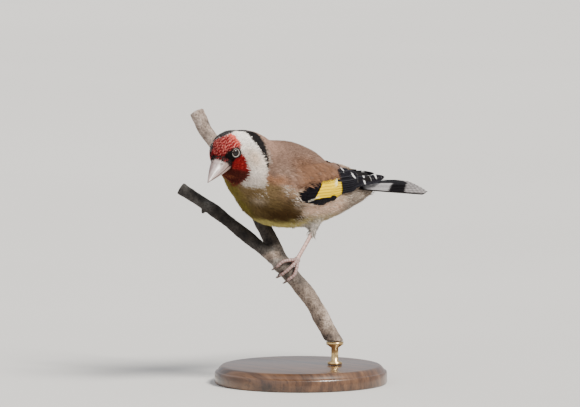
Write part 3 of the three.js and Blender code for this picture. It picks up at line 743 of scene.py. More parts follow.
def eye_middle(side):
    outward = unit(HEAD[:3, :3] @ (EYE_WAY * (side, 1, 1)))
    inside = to_row(HEAD, EYE_FROM)
    low, high = 0.0, 20.0
    for _ in range(30):
        middle = (low + high) / 2
        if form_distance((inside + outward * middle)[None], HEAD_FORMS)[0] < 0:
            low = middle
        else:
            high = middle
    return inside + outward * (low + EYE_OUT - EYE_RADIUS), outward


# how near the line out through an eye a root, a web and a loose barb may come
ROOT_CLEAR, WEB_CLEAR, BARB_CLEAR = 1.95, 2.1, 1.92


def eye_gap(points):
    """How far points on the head lie from the line out through the nearer eye"""
    return eye_distance(to_own(HEAD, points))


def coat_region(name, triangles, density, depth, tree, rng):
    spacing, length, width, count, strand, spread, lift, loose = COAT[name]
    roots = scatter(triangles, spacing / math.sqrt(density), rng)
    _, normals = settle(roots, np.full(len(roots), -depth), 1)
    over = name not in ("face", "legs")
    keep = over_wings(roots, 0.0)[1] < 0.5 if over else np.ones(len(roots), bool)
    if name == "face":
        keep &= ~covered(tree, roots, normals, 4)
        keep &= eye_gap(roots) > ROOT_CLEAR
    roots, normals = roots[keep], normals[keep]
    total = len(roots)
    lengths = length * rng.uniform(*((0.45, 1.35) if name == "legs" else (0.8, 1.2)), total)
    body = to_own(BODY, roots)
    rear = ramp(body[:, 1], 24, 38)
    lengths *= 1 + 1.2 * rear
    free = np.full(total, 0.7) if name == "legs" else rear * 0.85
    if name == "legs":
        hind = ramp(normals @ BODY[:3, 1], 0.2, 0.7)
        far_leg = np.linalg.norm(roots - THIGHS["right"][1], axis=1) < 7.5
        lengths *= (1 + 0.3 * hind) * np.where(far_leg, 0.55, 1)
        free = np.where(far_leg, 0.3, free + 0.12 * hind)
    shades = rng.normal(1, 0.1, total)
    uv = unwrap(roots)
    made = []

    # the webs of the feathers
    steps = 4
    pattern = sheet_pattern(2, steps)
    heights = [np.full(total, lerp(-depth * 0.9, 0.05, (k / steps) ** 0.8)) for k in range(steps + 1)]
    turns = rng.normal(0, 0.12, total)
    rows, ups, ways = strands(roots, lengths, heights, turns, steps, over, free)
    widths = width * rng.uniform(0.9, 1.1, total)
    points = ribbon_points(pattern, rows, ups, ways, widths, FEATHER_OUTLINE, 0.06)
    base = markings(rows[:, 2] + rng.normal(0, 0.16, (total, 3))) * shades[:, None]
    fade = (0.6 + 0.4 * pattern[0][:, 1])[None, :, None]
    colours = base[:, None] * fade
    keep = over_wings(rows[:, -1], 0.0)[1] < 0.5 if over else np.ones(total, bool)
    if name == "face":
        keep = eye_gap(rows.reshape(-1, 3)).reshape(total, -1).min(1) > WEB_CLEAR
    made.append((pattern, points[keep], colours[keep], uv[keep]))

    # loose barbs along each feather, every fifth a wider lock
    owner = np.repeat(np.arange(total), count)
    many = len(owner)
    lock = (np.arange(many) % 5 == 0) * 1.0
    share = rng.uniform(-1, 1, many)
    feather_way, feather_up = ways[owner, 0], ups[owner, 0]
    aside = np.cross(feather_way, feather_up)
    back = rng.uniform(-0.15, 0.55, many) * lengths[owner]
    starts = roots[owner] + aside * (share * width * 0.5)[:, None] + feather_way * back[:, None]
    barb_lengths = lengths[owner] * rng.uniform(0.45, 0.8, many) * (1 + 0.25 * lock)
    steps = 3
    pattern = sheet_pattern(1, steps)
    tips = lift * rng.uniform(0.15, 1, many) ** 1.5
    heights = [lerp(-depth * 0.5, tips, (k / steps) ** 1.2) for k in range(steps + 1)]
    turns = turns[owner] + share * spread * 0.8 + rng.normal(0, loose, many)
    rows, ups, ways = strands(starts, barb_lengths, heights, turns, steps, over, free[owner])
    widths = strand * rng.uniform(0.7, 1.3, many) * (1 + 1.1 * lock)
    reach = 1 if name == "face" else 2
    tip_base = markings(rows[:, reach] + rng.normal(0, 0.2, (many, 3)))
    root_base = markings(rows[:, 1])
    tone = (shades[owner] * rng.normal(1, 0.16 + 0.12 * lock, many))[:, None]
    v = pattern[0][:, 1][None, :, None]
    pale = rng.random(many) < pale_share(to_own(BODY, rows[:, 2])) * (name != "face")
    tip_base[pale] = lerp(tip_base[pale], np.array([0.78, 0.67, 0.56]), 0.7)
    root_base[pale] = lerp(root_base[pale], np.array([0.78, 0.67, 0.56]), 0.35)
    widths = widths * (1 + 0.3 * pale)
    if name in ("face", "neck"):
        index = np.rint(pattern[0][:, 1] * steps).astype(int)
        every = [markings(rows[:, k] + rng.normal(0, 0.07, (many, 3))) for k in range(steps + 1)]
        every = np.stack(every, 1)
        colours = every[:, index] * (0.75 + 0.25 * v) * np.clip(tone[:, None], 0.5, 1.4)
    else:
        tone = tone * lerp(0.8, 1.08, np.abs(share))[:, None]
        colours = lerp(root_base[:, None] * 0.7, tip_base[:, None], v)
        colours = colours * np.clip(tone[:, None], 0.45, 1.45)
    points = ribbon_points(pattern, rows, ups, ways, widths, STRAND_OUTLINE)
    keep = np.ones(many, bool)
    if over:
        keep = over_wings(rows[:, -1], 0.0)[1] < 0.1 + 3.2 * rng.random(many) ** 2
    if name == "face":
        keep = eye_gap(rows.reshape(-1, 3)).reshape(many, -1).min(1) > BARB_CLEAR
    made.append((pattern, points[keep], colours[keep], uv[owner][keep]))
    return made


def build_coat(density, depth):
    """The contour feathers and their loose barbs over the whole skin"""
    rng = np.random.default_rng(SEED)
    skin = bpy.data.objects["skin"]
    triangles = triangles_of(skin.data)
    regions = region_of(triangles.mean(1))
    tree = tree_of(("bill_upper_horn", "bill_lower_horn"))
    material = plumage_material("contour_feathers", grain=2600)
    build_bristles(np.random.default_rng(SEED + 3), material)
    for name in COAT:
        chosen = triangles[regions == name]
        if not len(chosen):
            raise RuntimeError(f"the skin has no {name}")
        for kind, (pattern, points, colours, roots) in zip(
            ("webs", "barbs"), coat_region(name, chosen, density, depth, tree, rng)
        ):
            places, faces = pattern
            maps = bake_patches(roots, places)
            limit = PIECE_TRIANGLES // (len(faces) * 2)
            for part, start in enumerate(range(0, len(points), limit)):
                chunk = slice(start, start + limit)
                title = f"coat_{name}_{kind}" + (f"_{part + 1}" if len(points) > limit else "")
                mesh = joined_mesh(title, points[chunk], faces, colours[chunk], {"OFBake": maps[chunk]})
                new_piece(title, mesh, material)


# Wings and tail
def profile(stops, at):
    stops = np.array(stops, float)
    at = np.asarray(at, float)
    k = np.clip(np.searchsorted(stops[:, 0], at, side="right"), 1, len(stops) - 1)
    t = np.clip((at - stops[k - 1, 0]) / (stops[k, 0] - stops[k - 1, 0]), 0, 1)
    return lerp(stops[k - 1, 1], stops[k, 1], t * t * (3 - 2 * t) * 0.5 + t * 0.5)


def on_sheet(side, y, angle, lift):
    wide = profile(SHEET_WIDTH, y) + lift
    tall = profile(SHEET_HEIGHT, y) + lift
    turn = np.radians(angle)
    return to_row(BODY, np.stack([side * wide * np.cos(turn), y + 0 * wide, tall * np.sin(turn)], -1))


def sheet_up(side, y, angle):
    round_ = on_sheet(side, y, angle + 2, 0) - on_sheet(side, y, angle - 2, 0)
    along = on_sheet(side, y + 1, angle, 0) - on_sheet(side, y - 1, angle, 0)
    return unit(np.cross(round_, along) * side)


# name, count, first and last root, first and last tip, width, first and last lift
WING_ROWS = [
    ("primary", 8, ((8, -4), (6, -14)), ((36, 26), (51, 34)), 4.2, (1.6, 0.9)),
    ("secondary", 6, ((0, -8), (0, 12)), ((30, 2), (31, 36)), 4.6, (1.5, 2.0)),
    ("tertial", 3, ((8, 22), (8, 32)), ((31, 44), (23, 58)), 5.4, (2.1, 2.6)),
    ("greater", 8, ((-6, -8), (-4, 18)), ((11, -13), (15, 30)), 3.6, (2.0, 2.4)),
    ("median", 6, ((-12, -8), (-10, 8)), ((-1.5, -12), (2, 17)), 3.8, (2.3, 2.7)),
    ("lesser", 6, ((-14, -7), (-13, 9)), ((-7, -11), (-5, 14)), 3.4, (2.6, 2.9)),
    ("alula", 3, ((-4, -15), (1, -13)), ((8, -20), (14.5, -17)), 2.8, (2.7, 2.4)),
]


# where the white tips of the folded flight feathers show, in the body's frame
WING_SPOTS = [
    (8.0, 21.6, 7.4),
    (8.8, 27.6, 4.8),
    (6.6, 35.6, 4.0),
    (8.6, 35.2, 1.5),
    (6.4, 39.9, 2.7),
    (4.9, 44.6, 3.0),
]


def wing_tone(kind, rank, u, t, own, length):
    y, z = own[:, 1], own[:, 2]
    tone = np.tile(BLACK * (1, 1.05, 1.7), (len(u), 1))
    yellow_end = 17.2 - 0.32 * (z - 1.4)
    if kind in ("primary", "secondary"):
        tone = paint(tone, YELLOW, ramp(yellow_end - y, -0.4, 0.4))
    if kind == "greater":
        fresh = ramp(y - (-1.4 + 0.25 * rank), -0.6, 0.6)
        tone = paint(tone, YELLOW, fresh)
        tone = paint(tone, (0.95, 0.86, 0.4), fresh * ramp(t, 0.8, 1.0) * ramp(z, 0, 5))
        tone = paint(tone, (0.95, 0.86, 0.55), fresh * ramp(t, 0.84, 0.96) * ramp(z, 1.0, 3.5) * 0.8)
    if kind == "alula":
        tone = tone * 0.8
    if kind in ("alula", "primary", "greater", "median"):
        along = np.clip((y + 4.2) / 5.8, 0, 1)
        off = np.hypot(y - lerp(-4.2, 1.6, along), z - lerp(-4.0, -2.2, along))
        broken = 0.6 + 0.4 * np.sin(y * 9 + z * 4)
        tone = paint(tone, (0.85, 0.78, 0.64), ramp(-off, -0.6, -0.3) * broken)
    if kind == "tertial":
        tone = paint(tone, (0.09, 0.085, 0.085), ramp(np.abs(u), 0.84, 0.97) * 0.8)
    if kind in ("primary", "secondary", "tertial"):
        edge = ramp(np.abs(u), 0.86, 0.97) * ramp(y - yellow_end, 0, 2)
        tone = paint(tone, (0.045, 0.045, 0.055), edge * 0.7)
        mirrored = np.abs(own[:, 0])
        for x, spot_y, spot_z in WING_SPOTS:
            along, above, out = y - spot_y, z - spot_z, mirrored - x
            off = ((along + 0.28 * above) / 0.58) ** 2 + (above / 1.1) ** 2 + (out / 2.4) ** 2
            tone = paint(tone, (0.88, 0.86, 0.84), ramp(-off, -1.5, -0.6))
        tip = (1 - t) * length
        tone = paint(tone, (0.3, 0.29, 0.28), ramp(-tip, -0.6, -0.2) * 0.35)
    return tone


def build_wing(side):
    """A folded wing: a thin core sheet and its rows of feathers"""
    name = "left" if side > 0 else "right"
    rng = np.random.default_rng(SEED + side)
    pieces = []
    pattern = sheet_pattern(10, 56, closed=True)
    places, faces = pattern
    u, v, w = places.T
    for kind, count, root, tip, width, lift in WING_ROWS:
        for rank in range(count):
            share = rank / (count - 1)
            start = lerp(np.array(root[0], float), np.array(root[1], float), share)
            end = lerp(np.array(tip[0], float), np.array(tip[1], float), share)
            end = end + rng.uniform(-0.4, 0.4, 2)
            rise = lerp(lift[0], lift[1], share)
            t = 1 - (1 - v) ** 1.25
            y = lerp(start[0], end[0], t)
            angle = lerp(start[1], end[1], t)
            away = lerp(rise * 0.5, rise, t)
            middle = on_sheet(side, y, angle, away)
            aside = unit(on_sheet(side, y, angle + 3, away) - middle)
            up = sheet_up(side, y, angle)
            round_ = np.minimum(1, 2.5 * np.sqrt(np.clip(1 - t, 0, 1)))
            nick = 1 - 0.05 * np.abs(np.sin(t * 43 + rank * 2 + u)) * (np.abs(u) > 0.9)
            reach = width / 2 * (0.6 + 0.4 * np.minimum(1, t * 3)) * np.maximum(round_, 0.04) * nick
            shaft = 0.1 * np.exp(-((u * 6) ** 2))
            thick = 0.3 * np.where(v > 0.9, 0.5, 1) * (1 - 0.5 * np.abs(u))
            bow = -0.06 * (u * reach) ** 2 + shaft
            points = middle + aside * (u * reach)[:, None] + up * (bow + w * thick)[:, None]
            own = to_own(BODY, points)
            length = np.linalg.norm(on_sheet(side, *end, rise) - on_sheet(side, *start, rise))
            tone = wing_tone(kind, rank, u, t, own, length)
            pieces.append((points, tone * rng.uniform(0.88, 1.1)))
    y = lerp(-14.0, 40.0, v)
    angle = lerp(profile(SHEET_LOW, y), profile(SHEET_HIGH, y), (u + 1) / 2)
    up = sheet_up(side, y, angle)
    points = on_sheet(side, y, angle, 0.6) + up * (w * 1.1)[:, None]
    own = to_own(BODY, points)
    yellow = ramp(own[:, 1], -1.5, -0.5) * ramp(17.6 - own[:, 1], -0.5, 0.5)
    pieces.append((points, paint(np.tile(BLACK * 1.3, (len(u), 1)), YELLOW, yellow)))
    return vanes_piece(f"wing_{name}", pieces, places, faces)


def vanes_piece(node, pieces, places, faces):
    """Joins the vanes of a wing or the tail into the piece that replaces their node"""
    points = np.stack([p for p, _ in pieces])
    tones = np.stack([c for _, c in pieces])
    lie_map = np.tile(np.stack([(places[:, 0] + 1) / 2, places[:, 1]], 1)[None], (len(pieces), 1, 1))
    mesh = joined_mesh(f"{node}_feathers", points, faces, tones, {"lie": lie_map})
    material = bpy.data.materials.get("vane_barbs")
    if material is None:
        material = plumage_material("vane_barbs", 0.6, 0.0, 0.06, barbs=0.5, grain=1800)
    return new_piece(f"{node}_feathers", mesh, material, (node,))


def build_tail():
    """Twelve tail feathers, black with white windows and tips"""
    rng = np.random.default_rng(SEED + 7)
    places, faces = sheet_pattern(10, 60, closed=True)
    u, v, w = places.T
    pieces = []
    for side in (1, -1):
        for rank in range(6):
            length = TAIL_LENGTH - TAIL_FORK * (1 - rank / 5) ** 1.3
            spread = side * math.radians(0.6 + rank * 1.15)
            t = 1 - (1 - v) ** 1.2
            along = t * length
            round_ = np.minimum(1, 3.6 * np.sqrt(np.clip(1 - t, 0, 1)))
            tilt = 1 - 0.03 * np.clip(u * side, 0, 1)
            reach = 2.7 * (0.55 + 0.45 * np.minimum(1, t * 2)) * np.maximum(round_, 0.05)
            x = side * (0.8 + rank * 0.22) + np.sin(spread) * along + u * reach
            thick = 0.26 * np.where(v > 0.92, 0.6, 1)
            shaft = 0.09 * np.exp(-((u * 7) ** 2))
            drop = 1.2 - rank * 0.3 - (0.15 if side < 0 else 0)
            z = drop - 0.012 * x * x + shaft + w * thick
            points = to_row(TAIL, np.stack([x, np.cos(spread) * along * tilt, z], 1))
            pieces_x = np.abs(x)
            tone = np.tile(BLACK * (1, 1.05, 1.4), (len(u), 1))
            slant = 35.2 - 1.15 * np.clip(pieces_x, 2, 8) + rng.uniform(-0.3, 0.3)
            window = ramp(along, 13, 16) * ramp(slant - along, -0.4, 0.4) * ramp(pieces_x, 1.6, 2.2)
            mottle = 0.5 + 0.5 * np.sin(along * 1.9 + x * 2.3) * np.sin(along * 0.7 - x * 3.1 + rank)
            tone = paint(tone, (0.4, 0.38, 0.385), window * (0.82 + 0.18 * mottle))
            tip = ramp(along - (44 - 0.95 * np.clip(pieces_x, 2, 8)), -0.4, 0.4)
            tone = paint(tone, (0.4, 0.37, 0.365), tip * (0.35 + 0.55 * mottle))
            tone = paint(tone, BLACK * 2, ramp(along - length + 1.2, 0, 1) * (rank == 5))
            rim = ramp(u * side, 0.7, 0.82) * (rank == 5)
            tone = paint(tone, BLACK * 1.5, rim)
            pieces.append((points, tone * rng.uniform(0.9, 1.08)))
    return vanes_piece("tail", pieces, places, faces)


# Head parts
def tube(name, place, around, along, capped=True):
    """A closed tube: place(t, angle) gives each point in millimetres of the row frame"""
    bm = bmesh.new()
    bmesh.ops.create_grid(bm, x_segments=around, y_segments=along, size=0.5)
    for vertex in bm.verts:
        vertex.co = Vector(place(vertex.co.y + 0.5, (vertex.co.x + 0.5) * math.tau)) * MM
    bmesh.ops.remove_doubles(bm, verts=bm.verts[:], dist=2e-6)
    if capped:
        open_edges = [edge for edge in bm.edges if edge.is_boundary]
        bmesh.ops.holes_fill(bm, edges=open_edges, sides=0)
    bmesh.ops.recalc_face_normals(bm, faces=bm.faces[:])
    return mesh_from_bmesh(name, bm)


def horn_material():
    material, nodes, links, shader = material_of(
        "bill_horn", 0.38, Specular_IOR_Level=0.45, Coat_Weight=0.15, Coat_Roughness=0.3
    )
    stops = [(0.3, (0.7, 0.67, 0.66)), (0.62, (1, 1, 1))]
    streak = grained_tone(nodes, links, shader, 700, 5, stops)
    bump_node(nodes, links, streak, shader, 0.25, 0.00008)
    return material


def bill_surface(up, t, angle, out=0.0):
    """A place on the upper (1) or lower (-1) half of the bill, `out` over its horn"""
    t = min(t, 0.998)
    height, share = (BILL_UPPER, 1) if up > 0 else (BILL_LOWER, 0.94)
    taper = (1 - t * 0.985) ** 0.86
    wide = BILL_WIDTH / 2 * taper * (1 + 0.1 * math.sin(math.pi * max(t, 0)))
    tall = height * (1 - t * 0.985) ** (0.92 if up > 0 else 1.05)
    rise = max(0.0, math.sin(angle)) ** (0.9 if up > 0 else 0.75)
    pit = 0.0
    if up > 0:
        for side in (1, -1):
            off = math.hypot((t - 0.31) * BILL_LENGTH, (math.cos(angle) - side * 0.62) * 3.8)
            pit = max(pit, 0.5 * math.exp(-((off / 0.42) ** 4)))
    point = np.array([math.cos(angle) * wide, -t * BILL_LENGTH * share, up * (GAP / 2 + rise * tall)])
    point += np.array([math.cos(angle), 0, up * math.sin(angle)]) * (out - pit)
    return to_row(BILL, point)


def build_bristles(rng, material):
    """Stiff dark bristles over the bill's base and the nostrils, and the chin's edge under it"""
    steps = 4
    rows, ups, tones = [], [], []
    angles, stops = np.linspace(0.02, math.pi - 0.02, 25), np.linspace(0, 0.5, 51)
    for up, count in ((1, 900), (-1, 320)):
        horn = np.array([[bill_surface(up, t, angle) for t in stops] for angle in angles])
        bare = flesh(horn.reshape(-1, 3)).reshape(len(angles), -1) > -1.0
        edge = stops[np.where(bare.any(1), bare.argmax(1), 0)] * BILL_LENGTH
        for _ in range(count):
            angle = rng.uniform(0.02, math.pi - 0.02)
            nostril = math.exp(-(((abs(math.cos(angle)) - 0.62) / 0.35) ** 2))
            length = (1.3 + 1.0 * nostril if up > 0 else 0.9) * rng.uniform(0.5, 1.15)
            start = np.interp(angle, angles, edge) + rng.uniform(-0.9, 0.6)
            drift = rng.normal(0, 0.12)
            lift = rng.uniform(0.12, 0.5)
            line = []
            for k in range(steps + 1):
                t = (start + length * k / steps) / BILL_LENGTH
                out = 0.08 + lift * math.sin(2.6 * k / steps)
                line.append(bill_surface(up, t, angle + drift * k / steps, out))
            rows.append(line)
            way = np.array([math.cos(angle), 0, up * math.sin(angle)])
            ups.append(np.tile(HEAD[:3, :3] @ way, (steps + 1, 1)))
            ruddy = rng.random() < (0.16 if up > 0 and math.sin(angle) > 0.6 else 0.06)
            dull = (0.05, 0.035, 0.03) if rng.random() < 0.2 else tuple(BLACK * 1.2)
            tones.append((RED * rng.uniform(0.4, 1.1)) if ruddy else (dull if up > 0 else RED_DARK * 0.8))
    rows, ups, tones = np.array(rows), np.array(ups), np.array(tones)
    ways = np.gradient(rows, axis=1)
    pattern = sheet_pattern(1, steps)
    widths = rng.uniform(0.1, 0.24, len(rows))
    points = ribbon_points(pattern, rows, ups, unit(ways), widths, STRAND_OUTLINE)
    colours = np.repeat(tones[:, None], len(pattern[0]), axis=1)
    maps = bake_patches(unwrap(rows[:, 0]), pattern[0])
    mesh = joined_mesh("coat_bill_bristles", points, pattern[1], colours, {"OFBake": maps})
    new_piece("coat_bill_bristles", mesh, material)


def build_bill():
    material = horn_material()
    half = GAP / 2
    for name, up in (("upper", 1), ("lower", -1)):

        def place(t, angle, up=up):
            return bill_surface(up, t, angle)

        mesh = tube(f"bill_{name}_horn", place, 64, 48)
        own = to_own(BILL, places_of(mesh) / MM)
        tone = np.tile((0.43, 0.325, 0.3), (len(own), 1))
        forward = -own[:, 1] / BILL_LENGTH
        ray = np.arctan2(own[:, 2], own[:, 0])
        fibre = np.sin(ray * 9 + 1.4 * np.sin(forward * 5)) * np.sin(ray * 4 + forward * 5 + 1)
        # painted highlight: a pale band along the side of each mandible
        highlight_tone, middle = ((0.95, 0.9, 0.88), 1.0) if up > 0 else ((0.8, 0.68, 0.64), -0.7)
        highlight_band = np.exp(-(((ray - middle) / 0.3) ** 2)) * ramp(forward, 0.1, 0.35)
        tone = paint(tone, highlight_tone, highlight_band * 0.9)
        tone = paint(tone, (0.26, 0.19, 0.175), ramp(fibre, 0.05, 0.7) * 0.75)
        # painted shade: the far side (toward -x) darker
        tone = paint(tone, (0.22, 0.15, 0.14), ramp(-own[:, 0], -0.1, 1.5) * 0.85)
        # painted shade: greyer toward the gape on the upper mandible and on the lower mandible's underside
        gape_and_under_shade = ramp(0.9 - np.abs(own[:, 2]), 0, 0.7) if up > 0 else ramp(np.abs(own[:, 2]), 1.2, 2.6)
        tone = paint(tone, (0.38, 0.27, 0.24), gape_and_under_shade * 0.6)
        if up > 0:
            culmen = ramp(2.0 * (1 - forward) - np.abs(own[:, 0]), -0.6, 0.8)
            tone = paint(tone, (0.4, 0.34, 0.33), culmen * 0.7)
        tone = paint(tone, (0.3, 0.21, 0.18), ramp(-forward, -0.42, -0.1) * 0.7)
        tone = paint(tone, (0.2, 0.16, 0.15), ramp(forward, 0.86, 0.99) * 0.6)
        # painted shade along the gape line between the mandibles
        tone = paint(tone, (0.16, 0.1, 0.09), ramp(0.5 - np.abs(own[:, 2]), -0.1, 0.25) * 0.85)
        if up > 0:
            for side in (1, -1):
                off = np.linalg.norm((own - (side * 2.4, -4.6, 3)) / (1.6, 2.2, 1.5), axis=1)
                tone = paint(tone, (0.3, 0.23, 0.2), ramp(-off, -1.1, -0.3) * 0.8)
                # painted shade: a near-black spot inside each nostril pit
                off = np.linalg.norm((own - (side * 2.5, -4.7, 3.1)) / (0.6, 0.9, 0.6), axis=1)
                tone = paint(tone, (0.04, 0.03, 0.03), ramp(-off, -1.1, -0.6))
        tint(mesh, tone)
        new_piece(f"bill_{name}_horn", mesh, material, (f"bill_{name}",))

    def inside(t, angle):
        wide = BILL_WIDTH / 2 * (1 - t * 0.97) ** 0.86 * 0.9
        tall = math.sin(angle) * half * 0.98
        return to_row(BILL, (math.cos(angle) * wide, -t * BILL_LENGTH * 0.9, tall))

    mesh = tube("mouth_line", inside, 24, 12)
    # tinted near black as painted shade of the gap between the mandibles
    tint(mesh, np.tile((0.05, 0.02, 0.018), (len(mesh.vertices), 1)))
    new_piece("mouth_line", mesh, material)


# radius and height of the lids' section over the eye's middle, from the rim on the ball outwards
LID_SECTION = [(1.56, 1.2), (1.58, 1.44), (1.63, 1.5), (1.7, 1.5), (1.8, 1.46), (1.95, 1.62), (2.15, 1.8)]
LID_SECTION += [(2.32, 1.82), (2.36, 1.6), (2.1, 1.0), (1.7, 0.8), (1.56, 1.2)]


def eye_material():
    material, nodes, links, shader = material_of("eye_gloss", 0.09, Specular_IOR_Level=0.33)
    grained_tone(nodes, links, shader, 2500, 2, [(0.3, (0.7, 0.7, 0.7)), (0.7, (1, 1, 1))])
    return material


def lid_material():
    material, nodes, links, shader = material_of("lid_skin", 0.6, Specular_IOR_Level=0.3)
    stops = [(0.3, (0.55, 0.53, 0.51)), (0.7, (0.85, 0.83, 0.8))]
    grain = grained_tone(nodes, links, shader, 3500, 2, stops)
    bump_node(nodes, links, grain, shader, 0.5, 0.0001)
    return material


def build_eyes():
    gloss, skin = eye_material(), lid_material()
    for name, side in (("left", 1), ("right", -1)):
        middle, outward = eye_middle(side)
        turn = Vector((0, 0, 1)).rotation_difference(Vector(outward)).to_matrix().to_4x4()
        matrix = Matrix.Translation(Vector(middle * MM)) @ turn
        bm = bmesh.new()
        bmesh.ops.create_uvsphere(bm, u_segments=48, v_segments=32, radius=EYE_RADIUS * MM, matrix=matrix)
        mesh = mesh_from_bmesh(f"eye_{name}_ball", bm)
        facing = unit(places_of(mesh) / MM - middle) @ outward
        tone = np.tile((0.004, 0.003, 0.003), (len(facing), 1))
        tone = paint(tone, (0.022, 0.01, 0.006), ramp(0.9 - facing, -0.01, 0.01))
        tint(mesh, tone)
        new_piece(f"eye_{name}_ball", mesh, gloss, (f"eye_{name}",))
        turn3 = np.array(turn)[:3, :3]

        def ring(t, angle):
            # a pale beaded rim on the ball, and dark skin that climbs from it to the plumage
            around = t * math.tau
            stop = angle / math.tau * (len(LID_SECTION) - 1)
            places = range(len(LID_SECTION))
            radius, high = (np.interp(stop, places, column) for column in zip(*LID_SECTION))
            high += (0.03 * math.sin(around * 23) + 0.02 * math.sin(around * 37 + 1)) * (radius < 1.9)
            local = np.array([math.cos(around) * radius * 1.03, math.sin(around) * radius * 0.97, high])
            return middle + turn3 @ local

        mesh = tube(f"lids_{name}", ring, 22, 120, capped=False)
        local = (places_of(mesh) / MM - middle) @ turn3
        out = np.hypot(local[:, 0] / 1.03, local[:, 1] / 0.97)
        rim = np.tile((0.6, 0.55, 0.51), (len(out), 1))
        tint(mesh, paint(rim, (0.02, 0.016, 0.015), ramp(out, 1.78, 1.85)))
        new_piece(f"lids_{name}", mesh, skin)


# Legs
def smooth_curve(points, count=400):
    """Centripetal Catmull-Rom curve through points, as even steps of its length"""
    points = [np.array(p, float) for p in points]
    ends = [2 * points[0] - points[1], *points, 2 * points[-1] - points[-2]]
    out = []
    for k in range(1, len(ends) - 2):
        p0, p1, p2, p3 = ends[k - 1 : k + 3]
        d0, d1, d2 = (max(np.linalg.norm(b - a), 1e-6) ** 0.5 for a, b in ((p0, p1), (p1, p2), (p2, p3)))
        m1 = ((p1 - p0) / d0 - (p2 - p0) / (d0 + d1) + (p2 - p1) / d1) * d1
        m2 = ((p2 - p1) / d1 - (p3 - p1) / (d1 + d2) + (p3 - p2) / d2) * d1
        t = np.linspace(0, 1, 120, endpoint=k == len(ends) - 3)[:, None]
        out.append(p1 + m1 * t + (3 * (p2 - p1) - 2 * m1 - m2) * t**2 + (2 * (p1 - p2) + m1 + m2) * t**3)
    dense = np.concatenate(out)
    reach = np.concatenate([[0], np.cumsum(np.linalg.norm(np.diff(dense, axis=0), axis=1))])
    even = np.linspace(0, reach[-1], count)
    return np.stack([np.interp(even, reach, dense[:, i]) for i in range(3)], 1)


def along_curve(curve, t):
    place = t * (len(curve) - 1)
    k = int(min(max(place, 0), len(curve) - 2))
    way = curve[k + 1] - curve[k]
    return curve[k] + way * (place - k), way / np.linalg.norm(way)


def grip_of(curve, at, toward):
    middle, along = along_curve(curve, at)
    out = toward - middle
    out = unit(out - along * (out @ along))
    return middle, along, out, np.cross(along, out)


def skin_material():
    material, nodes, links, shader = material_of("leg_scales", 0.5, Specular_IOR_Level=0.4)
    stops = [(0.3, (0.72, 0.66, 0.64)), (0.65, (1, 1, 1))]
    fine = grained_tone(nodes, links, shader, 1500, 4, stops)
    bump_node(nodes, links, fine, shader, 0.35, 0.0001)
    return material


LEG_TONE = np.array([0.6, 0.41, 0.36])
TOE_TONE = np.array([0.36, 0.26, 0.24])
LEG_SHADOW = np.array([0.16, 0.05, 0.035])
PALM_RADIUS = 1.5
SHANK_FRONT = np.array([0.5, -1.0, 0.2])


def limb(
    name, centre_of, front_of, radius_of, plates, around=20, along=90, base=TOE_TONE, depth=0.75, front_highlight=0.0
):
    """A scaly limb: plates across its front, painted shade in the grooves between them and on its back and sides,
    and a painted highlight along its front where asked for
    """

    def frame_at(t):
        here = centre_of(t)
        way = unit(centre_of(min(t + 0.01, 1)) - centre_of(max(t - 0.01, 0)))
        front = front_of(t)
        front = unit(front - way * (front @ way))
        return here, front, np.cross(way, front)

    def place(t, angle):
        here, front, aside = frame_at(t)
        face = max(0.0, math.cos(angle))
        step = (t * plates) % 1.0
        plate = 0.05 * face * (1 - step) - 0.03 * math.exp(-((min(step, 1 - step) / 0.07) ** 2))
        radius = radius_of(t) * (1 + plate)
        return here + (front * math.cos(angle) + aside * math.sin(angle)) * radius

    mesh = tube(name, place, around, along)
    points = places_of(mesh) / MM
    stops = np.linspace(0, 1, 160)
    centres = np.array([centre_of(t) for t in stops])
    nearest = np.linalg.norm(points[:, None] - centres[None], axis=2).argmin(1)
    step = (stops[nearest] * plates) % 1.0
    groove = np.exp(-((np.minimum(step, 1 - step) / 0.15) ** 2))
    fronts = np.array([frame_at(t)[1] for t in stops])[nearest]
    facing = (unit(points - centres[nearest]) * fronts).sum(1)
    shades = 0.85 + 0.3 * np.sin(stops[nearest] * plates * 2.4)[:, None] ** 2
    tone = np.tile(base, (len(points), 1)) * shades
    # painted highlight: lighter along the front; painted shade: darker on the back and sides and in the grooves
    tone = paint(tone, base * 1.45, ramp(facing, 0.86, 0.98) * front_highlight)
    tone = paint(tone, LEG_SHADOW, ramp(-facing, -0.8, 0.1) * 0.8)
    tint(mesh, paint(tone, LEG_SHADOW, groove * depth))
    return mesh


def join_meshes(name, meshes):
    bm = bmesh.new()
    for mesh in meshes:
        bm.from_mesh(mesh)
        bpy.data.meshes.remove(mesh)
    return mesh_from_bmesh(name, bm)


